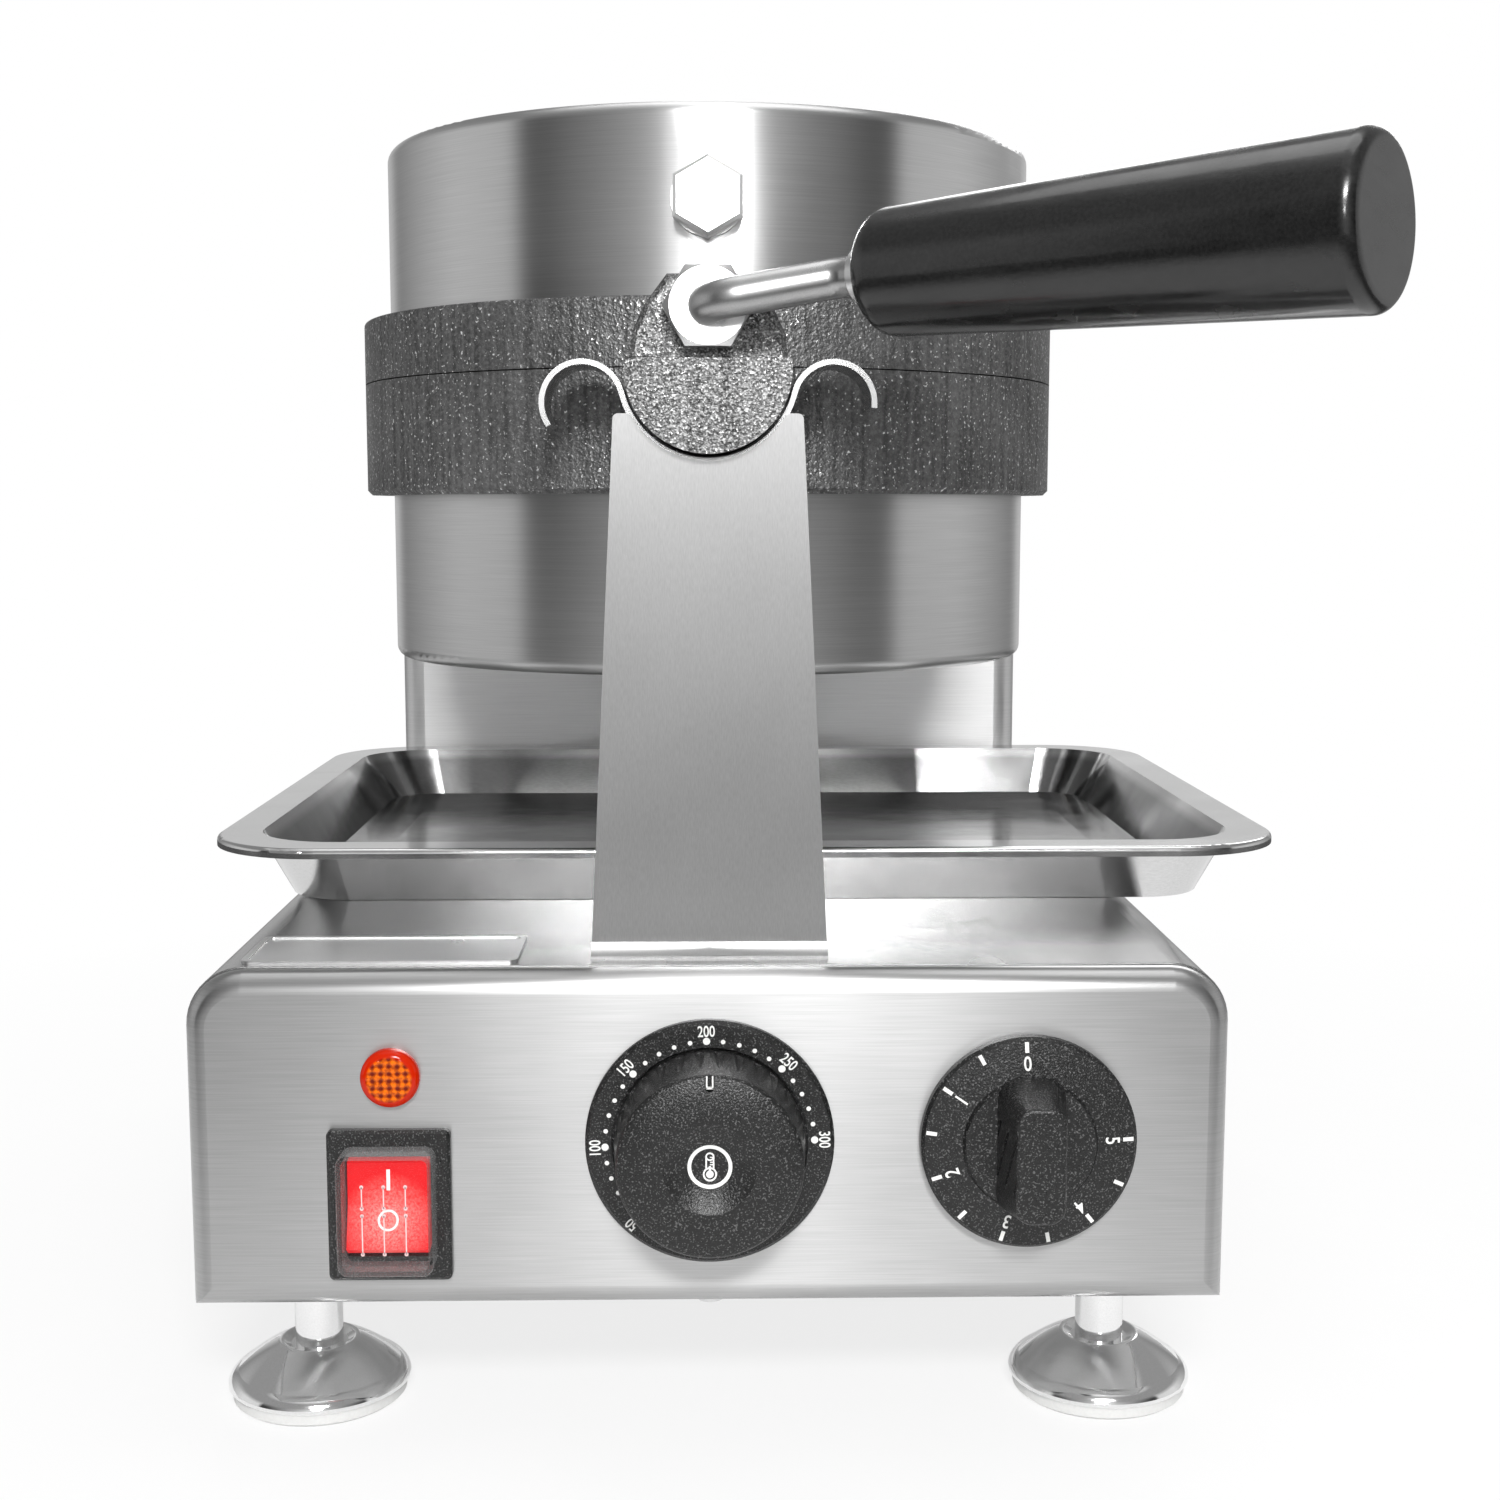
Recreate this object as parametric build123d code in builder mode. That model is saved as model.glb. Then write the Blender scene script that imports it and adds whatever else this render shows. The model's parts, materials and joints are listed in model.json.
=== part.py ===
from build123d import *
from math import atan2, cos, degrees, hypot, radians, sin, sqrt
import os

# A rotary waffle maker: a sheet-steel base with its controls, a rear column, and a round
# head of two heated plates that turns half a turn about a front-to-back axis.
# Millimetres. X runs to the right, Y to the back, Z up. The origin is on the counter,
# below the centre of the round plates and below the middle of the tray.

# Base and column
MID_X = -9.7            # centre plane of the machine; the loose tray sits this far off it
FRONT_Y = -132.2        # face of the front panel
BASE_WIDTH = 230.0
BASE_LENGTH = 340.0
BASE_BOTTOM = 33.5
BASE_TOP = 109.5
BASE_CORNER = 13.0
SHEET = 1.2             # stainless sheet of the casings
BACK_Y = FRONT_Y + BASE_LENGTH
COLUMN_WIDTH = 219.0
COLUMN_DEPTH = 54.0
COLUMN_TOP = 262.0
COLUMN_CORNER = 8.0
COLUMN_TOP_EDGE = 3.0
COLUMN_FRONT = BACK_Y - COLUMN_DEPTH
JOINT_GAP = 0.3         # between sheets that meet edge to edge
PANEL_SETBACK = 5.2     # depth of the front panel's pressed face
PANEL_EDGE = 4.8        # its rounded edge
PANEL_FACE = 1.6
PANEL_TUCK = 16.0       # how far its inner flange runs inside the shell
SHELL_FRONT = FRONT_Y + PANEL_SETBACK + JOINT_GAP
FLANGE = 12.0           # turned-in bottom edges of the shell
FLANGE_Z = BASE_BOTTOM + 1.5 * SHEET + 0.2
SHEET_SCREW_R = 1.7
SHEET_SCREW_HOLE = 1.8
SHEET_SCREW_HEAD = (3.4, 1.8)      # radius and height of a pan head

# Turning head
SEAM_Z = 241.5          # where the two plates meet
SEAM_GAP = 0.3
AXIS_Z = SEAM_Z - 2.4   # the head turns about this height
RING_R = 92.6
UPPER_RING = 16.2
LOWER_RING = 28.9
DRUM_R = 85.6
DRUM_SHEET = 1.0
DRUM_EDGE = 3.0
UPPER_DRUM = 60.8       # drum heights, from the seam
LOWER_DRUM = 72.0
CAVITY_R = DRUM_R + 0.5
DRUM_TUCK = 7.0         # how far a drum reaches into its plate
TRUNNION_R = 18.2
TRUNNION_TOP = 259.4
TRUNNION_LIP = 1.5      # its taller front edge, clear of the post when the head is turned over
UPPER_TRUNNION_R = 17.2
LOWER_TRUNNION_Y = FRONT_Y + 10.0
UPPER_TRUNNION_Y = FRONT_Y + 12.6
HINGE_Y = 110.0
HINGE_Z = SEAM_Z + 7.0
SHAFT_R = 10.0
BUSH_R = 13.0
HINGE_EYE_R = 6.0
HINGE_PIN_R = 3.0
RUNNING_FIT = 0.05
LUG_INNER = 13.0
LUG_OUTER = 20.0

# Handle
NUT_FLATS = 17.0
NUT_Z = 252.0
ROD_R = 4.2
ROD_TUCK = 12.0         # how far the rod reaches into the trunnion
GRIP_START = (MID_X + 31.1, FRONT_Y - 4.0, 257.0)
GRIP_END = (MID_X + 118.1, FRONT_Y - 73.0, 259.1)
GRIP_START_R = 12.9
GRIP_END_R = 16.4
GRIP_CAP = 6.0

# Post and cradle
POST_Y = FRONT_Y + 14.4
POST_SHEET = 2.0
POST_CURL = 3.2                   # bend at its foot
BRACKET_SHEET = 2.0
BRACKET_LEG = 26.0
POST_FOOT = 53.0
POST_HEAD = 41.5
POST_TOP = 229.7
CRADLE_SHEET = 1.2
CRADLE_DEPTH = 20.0
CRADLE_R = TRUNNION_R + 1.35      # middle of the strip under the trunnion
HORN_R = 8.85                     # middle of the strip in each curled horn
HORN_X = 27.5
HORN_DROP = 7.0
RIGHT_TIP = 7                     # degrees that each horn's tip hangs past level
LEFT_TIP = 34

# Tray
TRAY_LENGTH = 276.0
TRAY_WIDTH = 217.0
TRAY_TOP = 125.3
TRAY_BOTTOM = BASE_TOP + 0.1
TRAY_SHEET = 1.0
TRAY_FRONT = FRONT_Y + 65.0
TRAY_Y = TRAY_FRONT + TRAY_WIDTH / 2

# Controls
CONTROL_Z = 71.5
TIMER_X = 69.8
LAMP_X = -69.6
LAMP_Z = 86.1
SWITCH_X = -70.2
SWITCH_Z = 57.6
BEZEL_R = 27.3
TIMER_R = 23.7
SPINDLE_R = 3.0
SPINDLE_HOLE = 6.0
LAMP_R = 6.5
LAMP_NECK_R = 4.9
SWITCH_FRAME = (27.0, 34.0)
SWITCH_NECK = (22.6, 29.6)

# Feet
FOOT_X = 93.0
FOOT_FRONT = FRONT_Y + 32.0
FOOT_BACK = BACK_Y - 32.0
FOOT_R = 21.3
STEM_R = 5.6
STUD_R = 4.0            # threaded stud above the stem
STUD_LENGTH = 12.0
STEM_GAP = 0.05         # between the stem's shoulder and the bottom plate

os.makedirs("parts", exist_ok=True)


def level(height):
    """Horizontal plane on the machine's centre plane: x right, y back."""
    return Plane(origin=(MID_X, 0, height))


def facing(depth):
    """Upright plane that faces the front: x right, y up."""
    return Plane(origin=(MID_X, depth, 0), x_dir=(1, 0, 0), z_dir=(0, -1, 0))


def across(offset):
    """Upright plane that faces right, offset from the centre plane: x back, y up."""
    return Plane(origin=(MID_X + offset, 0, 0), x_dir=(0, 1, 0), z_dir=(1, 0, 0))


def turned_forward(offset, height, depth=FRONT_Y):
    """Half-section of a piece turned about a front-to-back axis: x radius, y forward."""
    return Plane(origin=(MID_X + offset, depth, height), x_dir=(1, 0, 0), z_dir=(0, 0, -1))


def turned_upright(offset, depth):
    """Half-section of a piece turned about an upright axis: x radius, y height."""
    return Plane(origin=(MID_X + offset, depth, 0), x_dir=(1, 0, 0), z_dir=(0, -1, 0))


def spin(section):
    """Turn the pending section about its plane's upward axis."""
    revolve(axis=Axis(section.origin, section.y_dir))


def arch(width, low, high, radius, mode=Mode.ADD):
    """Upright box outline with rounded top corners; its foot runs on below, to be trimmed."""
    with Locations((0, (low + high) / 2 - radius)):
        RectangleRounded(width, high - low + 2 * radius, radius, mode=mode)


def trim_below(width, low):
    """Cut a front-view sketch off at a height."""
    with Locations((0, low - BASE_CORNER * 2)):
        Rectangle(width, BASE_CORNER * 4, mode=Mode.SUBTRACT)


def add_screws(plane, spots, head_radius, head_height, shank_radius, shank_length):
    """Pan-head cross-slot screws: heads stand off the plane, shanks run behind it."""
    slot = head_radius * 1.15
    slot_width = head_radius * 0.25
    with BuildSketch(plane) as heads:
        with Locations(*spots):
            Circle(head_radius)
    extrude(heads.sketch, amount=head_height, taper=12)
    with BuildSketch(plane) as shanks:
        with Locations(*spots):
            Circle(shank_radius)
    extrude(shanks.sketch, amount=-shank_length)
    with BuildSketch(plane.offset(head_height)) as slots:
        with Locations(*spots):
            Rectangle(slot, slot_width)
            Rectangle(slot_width, slot)
    extrude(slots.sketch, amount=-head_height * 0.6, mode=Mode.SUBTRACT)


def screw_holes(spots):
    """Holes for the bottom screws in the flanges above the bottom plate."""
    with BuildSketch(level(BASE_BOTTOM + SHEET)) as holes:
        with Locations(*spots):
            Circle(SHEET_SCREW_HOLE)
    extrude(holes.sketch, amount=3 * SHEET, mode=Mode.SUBTRACT)


def save(piece, name):
    """Label a finished piece and write it to its own file."""
    piece.part.label = name
    export_step(piece.part, f"parts/{name}.step")


# ---------------------------------------------------------------- base casing

PLATE_LENGTH = BACK_Y - JOINT_GAP - SHELL_FRONT
PLATE_Y = SHELL_FRONT + PLATE_LENGTH / 2
SCREW_X = BASE_WIDTH / 2 - 7.5
SCREW_Y = 70.0
bottom_spots = [(0, FRONT_Y + 9.5), (0, BACK_Y - 16.0)]
for side in (-1, 1):
    bottom_spots += [(side * SCREW_X, PLATE_Y - SCREW_Y), (side * SCREW_X, PLATE_Y + SCREW_Y)]
foot_spots = [(side * FOOT_X, end) for end in (FOOT_FRONT, FOOT_BACK) for side in (-1, 1)]
post_spots = [(side * 14.0, POST_Y + 17.0) for side in (-1, 1)]
POST_SCREW_R = 2.0
POST_SCREW_HOLE = 2.1

with BuildPart() as base_shell:
    with BuildSketch(facing(SHELL_FRONT)):
        arch(BASE_WIDTH, BASE_BOTTOM, BASE_TOP, BASE_CORNER)
        arch(BASE_WIDTH - 2 * SHEET, BASE_BOTTOM, BASE_TOP - SHEET, BASE_CORNER - SHEET, Mode.SUBTRACT)
        trim_below(BASE_WIDTH + 2, BASE_BOTTOM)
        for side in (-1, 1):
            with Locations((side * (BASE_WIDTH - FLANGE) / 2, FLANGE_Z)):
                Rectangle(FLANGE, SHEET)
    extrude(amount=-(BACK_Y - SHELL_FRONT))
    # holes for the post's two screws and for the wires that go up the column
    with BuildSketch(level(BASE_TOP)):
        with Locations(*post_spots):
            Circle(POST_SCREW_HOLE)
        with Locations((0, BACK_Y - COLUMN_DEPTH / 2)):
            SlotOverall(60, 16)
    extrude(amount=-SHEET * 2, mode=Mode.SUBTRACT)
    screw_holes(bottom_spots)
save(base_shell, "base_shell")

with BuildPart() as front_panel:
    with BuildSketch(facing(FRONT_Y)):
        arch(BASE_WIDTH - 0.8, BASE_BOTTOM, BASE_TOP - 0.4, BASE_CORNER - 0.4)
        trim_below(BASE_WIDTH + 2, BASE_BOTTOM)
    extrude(amount=-PANEL_SETBACK)
    fillet(front_panel.faces().sort_by(Axis.Y)[0].edges(), PANEL_EDGE)
    tuck_drop = SHEET + JOINT_GAP
    tuck_width = BASE_WIDTH - 2 * tuck_drop
    with BuildSketch(facing(FRONT_Y + PANEL_SETBACK)):
        arch(tuck_width, BASE_BOTTOM, BASE_TOP - tuck_drop, BASE_CORNER - tuck_drop)
        trim_below(BASE_WIDTH + 2, BASE_BOTTOM + SHEET + 0.2)
    extrude(amount=-(PANEL_TUCK - PANEL_SETBACK))
    hollow_drop = tuck_drop + SHEET
    with BuildSketch(facing(FRONT_Y + PANEL_FACE)):
        arch(BASE_WIDTH - 2 * hollow_drop, BASE_BOTTOM, BASE_TOP - hollow_drop, BASE_CORNER - hollow_drop)
        trim_below(BASE_WIDTH + 2, BASE_BOTTOM + 2 * SHEET + 0.2)
    extrude(amount=-PANEL_TUCK, mode=Mode.SUBTRACT)
    with BuildSketch(facing(FRONT_Y)):
        with Locations((0, CONTROL_Z), (TIMER_X, CONTROL_Z)):
            Circle(SPINDLE_HOLE)
        with Locations((LAMP_X, LAMP_Z)):
            Circle(LAMP_NECK_R + 0.2)
        with Locations((SWITCH_X, SWITCH_Z)):
            Rectangle(SWITCH_NECK[0] + 0.4, SWITCH_NECK[1] + 0.4)
    extrude(amount=-2 * PANEL_FACE, mode=Mode.SUBTRACT)
    # the shell's bottom flanges pass inside the panel's flange
    with BuildSketch(facing(FRONT_Y + PANEL_SETBACK)):
        for side in (-1, 1):
            with Locations((side * (BASE_WIDTH - FLANGE) / 2, FLANGE_Z)):
                Rectangle(FLANGE + 0.8, SHEET + 0.6)
    extrude(amount=-PANEL_TUCK, mode=Mode.SUBTRACT)
    screw_holes(bottom_spots)
save(front_panel, "front_panel")

with BuildPart() as bottom_plate:
    with BuildSketch(level(BASE_BOTTOM)):
        with Locations((0, PLATE_Y)):
            Rectangle(BASE_WIDTH - 2 * SHEET - 0.4, PLATE_LENGTH)
        with Locations(*foot_spots):
            Circle(STUD_R + 0.2, mode=Mode.SUBTRACT)
        with Locations(*bottom_spots):
            Circle(SHEET_SCREW_HOLE, mode=Mode.SUBTRACT)
        with Locations((0, PLATE_Y)):
            with GridLocations(34, 14, 3, 7):
                SlotOverall(24, 5, mode=Mode.SUBTRACT)
    extrude(amount=SHEET)
save(bottom_plate, "bottom_plate")

with BuildPart() as bottom_screws:
    underside = Plane(origin=(MID_X, 0, BASE_BOTTOM), x_dir=(1, 0, 0), z_dir=(0, 0, -1))
    add_screws(underside, [(x, -y) for x, y in bottom_spots], *SHEET_SCREW_HEAD, SHEET_SCREW_R, 3.4)
save(bottom_screws, "bottom_screws")

with BuildPart() as column_shell:
    with BuildSketch(level(BASE_TOP)):
        with Locations((0, BACK_Y - COLUMN_DEPTH / 2)):
            Rectangle(COLUMN_WIDTH, COLUMN_DEPTH)
    extrude(amount=COLUMN_TOP - BASE_TOP)
    fillet(column_shell.edges().filter_by(Axis.Z).group_by(Axis.Y)[0], COLUMN_CORNER)
    fillet(column_shell.faces().sort_by(Axis.Z)[-1].edges().group_by(Axis.Y)[:-1], COLUMN_TOP_EDGE)
    back_and_foot = column_shell.faces().filter_by(Axis.Y).sort_by(Axis.Y)[-1:]
    back_and_foot += column_shell.faces().sort_by(Axis.Z)[:1]
    offset(amount=-SHEET, openings=back_and_foot)
    with BuildSketch(facing(COLUMN_FRONT)):
        with Locations((0, AXIS_Z)):
            Circle(BUSH_R + 0.2)
    extrude(amount=-3 * SHEET, mode=Mode.SUBTRACT)
save(column_shell, "column_shell")

GLAND_X = 72.0
GLAND_Z = 58.0
GLAND_NECK_R = 7.9
BACK_SCREW_LENGTH = 5.0
SLOT_WIDTH = 3.6        # cooling slots in the back cover
SLOT_PITCH = 9.0
base_screw_x = BASE_WIDTH / 2 - 10
column_screw_x = COLUMN_WIDTH / 2 - 9.5
back_spots = []
for side in (-1, 1):
    back_spots += [(side * base_screw_x, height) for height in (46, 96)]
    back_spots += [(side * column_screw_x, height) for height in (140, 250)]

with BuildPart() as back_cover:
    with BuildSketch(facing(BACK_Y)):
        arch(BASE_WIDTH - 0.4, BASE_BOTTOM, BASE_TOP, BASE_CORNER)
        with Locations((0, (BASE_TOP - 20 + COLUMN_TOP) / 2)):
            Rectangle(COLUMN_WIDTH, COLUMN_TOP - BASE_TOP + 20)
        trim_below(BASE_WIDTH + 2, BASE_BOTTOM + JOINT_GAP)
        with Locations((GLAND_X, GLAND_Z)):
            Circle(GLAND_NECK_R + 0.1, mode=Mode.SUBTRACT)
        with Locations(*back_spots):
            Circle(SHEET_SCREW_HOLE, mode=Mode.SUBTRACT)
        with Locations((0, 200)):
            with GridLocations(46, SLOT_PITCH, 3, 8):
                SlotOverall(36, SLOT_WIDTH, mode=Mode.SUBTRACT)
        with Locations((-40, 66)):
            with GridLocations(40, SLOT_PITCH, 2, 4):
                SlotOverall(30, SLOT_WIDTH, mode=Mode.SUBTRACT)
    extrude(amount=-SHEET)
    fillet(back_cover.edges().filter_by(Axis.Y).group_by(Axis.Z)[-1], 4.0)
save(back_cover, "back_cover")

with BuildPart() as back_screws:
    outside = Plane(origin=(MID_X, BACK_Y + SHEET, 0), x_dir=(-1, 0, 0), z_dir=(0, 1, 0))
    outside_spots = [(-x, height) for x, height in back_spots]
    add_screws(outside, outside_spots, *SHEET_SCREW_HEAD, SHEET_SCREW_R, BACK_SCREW_LENGTH)
save(back_screws, "back_screws")

BADGE_SPOT = (-73.0, FRONT_Y + 20.6)
BADGE_SIZE = (61.0, 26.0)
BADGE_THICK = 0.7
BADGE_RIM = 1.3

with BuildPart() as badge:
    with BuildSketch(level(BASE_TOP)):
        with Locations(BADGE_SPOT):
            RectangleRounded(*BADGE_SIZE, 2.0)
    extrude(amount=BADGE_THICK)
    with BuildSketch(level(BASE_TOP + BADGE_THICK)):
        with Locations(BADGE_SPOT):
            RectangleRounded(BADGE_SIZE[0] - 2 * BADGE_RIM, BADGE_SIZE[1] - 2 * BADGE_RIM, 1.2)
    extrude(amount=-BADGE_THICK / 2, mode=Mode.SUBTRACT)
save(badge, "badge")

# ---------------------------------------------------------------- post and cradle

with BuildPart() as post:
    with BuildSketch(facing(POST_Y)):
        Polygon(
            (-POST_FOOT / 2, BASE_TOP),
            (POST_FOOT / 2, BASE_TOP),
            (POST_HEAD / 2, POST_TOP),
            (-POST_HEAD / 2, POST_TOP),
            align=None,
        )
        with Locations((0, AXIS_Z)):
            Circle(CRADLE_R, mode=Mode.SUBTRACT)
    extrude(amount=-POST_SHEET)
    fillet(post.edges().filter_by(Axis.Y).group_by(Axis.Z)[-1], 1.2)
    # the foot curls forward onto the base
    with BuildSketch(across(-POST_FOOT / 2)):
        with Locations((POST_Y - POST_CURL / 2, BASE_TOP + POST_CURL / 2)):
            Rectangle(POST_CURL, POST_CURL)
        with Locations((POST_Y - POST_CURL, BASE_TOP + POST_CURL + 0.6)):
            Circle(POST_CURL, mode=Mode.SUBTRACT)
    extrude(amount=POST_FOOT)
save(post, "post")

with BuildPart() as post_bracket:
    bracket_y = POST_Y + POST_SHEET
    bracket_width = POST_FOOT - 9.0
    with BuildSketch(across(-bracket_width / 2)):
        Polygon(
            (bracket_y, BASE_TOP),
            (bracket_y + BRACKET_LEG, BASE_TOP),
            (bracket_y + BRACKET_LEG, BASE_TOP + BRACKET_SHEET),
            (bracket_y + BRACKET_SHEET, BASE_TOP + BRACKET_SHEET),
            (bracket_y + BRACKET_SHEET, BASE_TOP + BRACKET_LEG),
            (bracket_y, BASE_TOP + BRACKET_LEG),
            align=None,
        )
    extrude(amount=bracket_width)
    with BuildSketch(level(BASE_TOP)):
        with Locations(*post_spots):
            Circle(POST_SCREW_HOLE)
    extrude(amount=2 * BRACKET_SHEET, mode=Mode.SUBTRACT)
save(post_bracket, "post_bracket")

with BuildPart() as post_screws:
    add_screws(level(BASE_TOP + BRACKET_SHEET), post_spots, 4.0, 2.4, POST_SCREW_R, 9.0)
save(post_screws, "post_screws")

# the strip behind the post hugs the trunnion from below and curls over into a horn on each side
horn_reach = hypot(HORN_X, HORN_DROP)
horn_tilt = degrees(atan2(HORN_DROP, HORN_X))
horn_sweep = 180 - horn_tilt
arc_bends = [
    ((0, AXIS_Z), horn_reach - HORN_R, 180 + horn_tilt, 180 - 2 * horn_tilt),
    ((HORN_X, AXIS_Z - HORN_DROP), HORN_R, -RIGHT_TIP, horn_sweep + RIGHT_TIP),
    ((-HORN_X, AXIS_Z - HORN_DROP), HORN_R, horn_tilt, horn_sweep + LEFT_TIP),
]
with BuildPart() as cradle:
    with BuildSketch(facing(POST_Y + POST_SHEET)):
        for centre, radius, start, sweep_angle in arc_bends:
            with BuildLine():
                inner = CenterArc(centre, radius - CRADLE_SHEET / 2, start, sweep_angle)
                outer = CenterArc(centre, radius + CRADLE_SHEET / 2, start, sweep_angle)
                Line(inner @ 0, outer @ 0)
                Line(inner @ 1, outer @ 1)
            make_face()
    extrude(amount=-CRADLE_DEPTH)
save(cradle, "cradle")

# ---------------------------------------------------------------- bearing in the column

BLOCK_FRONT = COLUMN_FRONT + SHEET
BLOCK_DEPTH = 14.0
BUSH_FLANGE = 2.0
COLLAR_Y = BLOCK_FRONT + BLOCK_DEPTH + BUSH_FLANGE + 0.4
COLLAR_DEPTH = 10.0
COLLAR_R = 13.5
STOP_ARM = 20.5         # reach of the collar's arm, which lands on a rest at each end of the turn
STOP_ARM_HEIGHT = 8.0
STOP_REST = 4.0
STOP_FOOT_DROP = 26.0

with BuildPart() as bearing_block:
    with BuildSketch(facing(BLOCK_FRONT)):
        with Locations((0, AXIS_Z - 8)):
            RectangleRounded(84, 52, 4)
        with Locations((0, AXIS_Z)):
            Circle(BUSH_R, mode=Mode.SUBTRACT)
    extrude(amount=-BLOCK_DEPTH)
save(bearing_block, "bearing_block")

with BuildPart() as shaft_bush:
    bush = turned_forward(0, AXIS_Z, BLOCK_FRONT + BLOCK_DEPTH)
    with BuildSketch(bush):
        front_end = BLOCK_DEPTH + SHEET + 2.0
        Polygon(
            (SHAFT_R + RUNNING_FIT, -BUSH_FLANGE),
            (BUSH_R + 4, -BUSH_FLANGE),
            (BUSH_R + 4, 0),
            (BUSH_R, 0),
            (BUSH_R, front_end),
            (SHAFT_R + RUNNING_FIT, front_end),
            align=None,
        )
    spin(bush)
save(shaft_bush, "shaft_bush")

with BuildPart() as stop_bracket:
    foot_z = AXIS_Z - STOP_FOOT_DROP
    rest_z = AXIS_Z - STOP_ARM_HEIGHT / 2 - 0.2
    with BuildSketch(facing(BLOCK_FRONT + BLOCK_DEPTH)):
        with Locations((0, foot_z + STOP_REST / 2)):
            Rectangle(2 * STOP_ARM, STOP_REST)
    extrude(amount=-(COLLAR_Y + COLLAR_DEPTH - BLOCK_FRONT - BLOCK_DEPTH))
    with BuildSketch(facing(COLLAR_Y)):
        for side in (-1, 1):
            with Locations((side * (STOP_ARM - STOP_REST / 2), (foot_z + rest_z) / 2)):
                Rectangle(STOP_REST, rest_z - foot_z)
    extrude(amount=-COLLAR_DEPTH)
save(stop_bracket, "stop_bracket")

# ---------------------------------------------------------------- lower half of the head

GRID_PITCH = 11.0
GRID_POCKET = 8.8
GRID_DEPTH = 1.6
GRID_R = 80.0
PLATE_RECESS = 0.8
grid_steps = int(GRID_R // GRID_PITCH)
grid_spots = []
for column in range(-grid_steps, grid_steps + 1):
    for row in range(-grid_steps, grid_steps + 1):
        reach = hypot(abs(column) * GRID_PITCH + GRID_POCKET / 2, abs(row) * GRID_PITCH + GRID_POCKET / 2)
        if reach < GRID_R - 0.5:
            grid_spots.append((column * GRID_PITCH, row * GRID_PITCH))

LOWER_FACE = SEAM_Z - SEAM_GAP / 2
UPPER_FACE = SEAM_Z + SEAM_GAP / 2
LOWER_RIM = SEAM_Z - LOWER_RING
UPPER_RIM = SEAM_Z + UPPER_RING
LOWER_FLOOR = LOWER_RIM + 16.0     # back of the heated plate
UPPER_FLOOR = UPPER_RIM - 6.0
HUB_R = 21.0
HUB_FRONT = 117.5
HUB_BACK = 122.0
BULB_X = 30.0
BULB_Z = 233.2
BULB_R = 3.0
LOWER_BOLT_Z = SEAM_Z - 52.0
UPPER_BOLT_Z = SEAM_Z + 38.4
BOLT_LUG_Y = -78.0
BOLT_LUG_HALF = 9.0
DRUM_BOLT_R = 4.0
HEATER_R = 58.0
HEATER_TUBE_R = 3.25
INSULATION_R = DRUM_R - 5
INSULATION_DEPTH = 24.0
INSULATION_NOTCH = 26.0

with BuildPart() as lower_plate:
    with BuildSketch(level(LOWER_FACE)):
        Circle(RING_R)
    extrude(amount=-(LOWER_FACE - LOWER_RIM))
    chamfer(lower_plate.faces().sort_by(Axis.Z)[0].edges(), 1.2)
    # lower half of the round trunnion
    with BuildSketch(facing(LOWER_TRUNNION_Y)):
        with Locations((0, AXIS_Z)):
            Circle(TRUNNION_R)
        with Locations((0, LOWER_FACE + TRUNNION_R)):
            Rectangle(4 * TRUNNION_R, 2 * TRUNNION_R, mode=Mode.SUBTRACT)
    extrude(amount=LOWER_TRUNNION_Y + RING_R - 8)
    # bracket at the back, with the hub for the shaft and the two hinge lugs
    with BuildSketch(level(LOWER_FACE - 0.85)):
        with Locations((0, 99)):
            Rectangle(2 * LUG_OUTER, 2 * (HUB_BACK - 99))
    extrude(amount=-25)
    with BuildSketch(facing(HUB_BACK)):
        with Locations((0, AXIS_Z)):
            Circle(HUB_R)
    extrude(amount=HUB_BACK - HUB_FRONT)
    for inner_side in (-LUG_OUTER, LUG_INNER):
        with BuildSketch(across(inner_side)):
            with Locations((HINGE_Y, HINGE_Z)):
                Circle(HINGE_EYE_R)
            with Locations((HINGE_Y, (HINGE_Z + LOWER_FACE - 3) / 2)):
                Rectangle(2 * HINGE_EYE_R, HINGE_Z - LOWER_FACE + 3)
            with Locations((HINGE_Y, HINGE_Z)):
                Circle(HINGE_PIN_R, mode=Mode.SUBTRACT)
        extrude(amount=LUG_OUTER - LUG_INNER)
    # cavity for the heater and the drum
    with BuildSketch(level(LOWER_RIM)):
        Circle(CAVITY_R)
    extrude(amount=LOWER_FLOOR - LOWER_RIM, mode=Mode.SUBTRACT)
    with BuildSketch(level(LOWER_FLOOR)):
        with Locations((0, BOLT_LUG_Y)):
            Rectangle(2 * BOLT_LUG_HALF, 10)
    extrude(amount=-(LOWER_FLOOR - LOWER_BOLT_Z + BOLT_LUG_HALF))
    with BuildSketch(facing(BOLT_LUG_Y)):
        with Locations((0, LOWER_BOLT_Z)):
            Circle(DRUM_BOLT_R)
    extrude(amount=8, both=True, mode=Mode.SUBTRACT)
    # hole for the thermostat's bulb
    with BuildSketch(facing(96)):
        with Locations((BULB_X, BULB_Z)):
            Circle(BULB_R + 0.2)
    extrude(amount=76, mode=Mode.SUBTRACT)
    # cooking face: a shallow recess with a field of tapered square pockets
    with BuildSketch(level(LOWER_FACE)):
        Circle(GRID_R + 2)
    extrude(amount=-PLATE_RECESS, mode=Mode.SUBTRACT)
    with BuildSketch(level(LOWER_FACE - PLATE_RECESS)):
        with Locations(*grid_spots):
            Rectangle(GRID_POCKET, GRID_POCKET)
    extrude(amount=-GRID_DEPTH, taper=20, mode=Mode.SUBTRACT)
save(lower_plate, "lower_plate")


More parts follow.
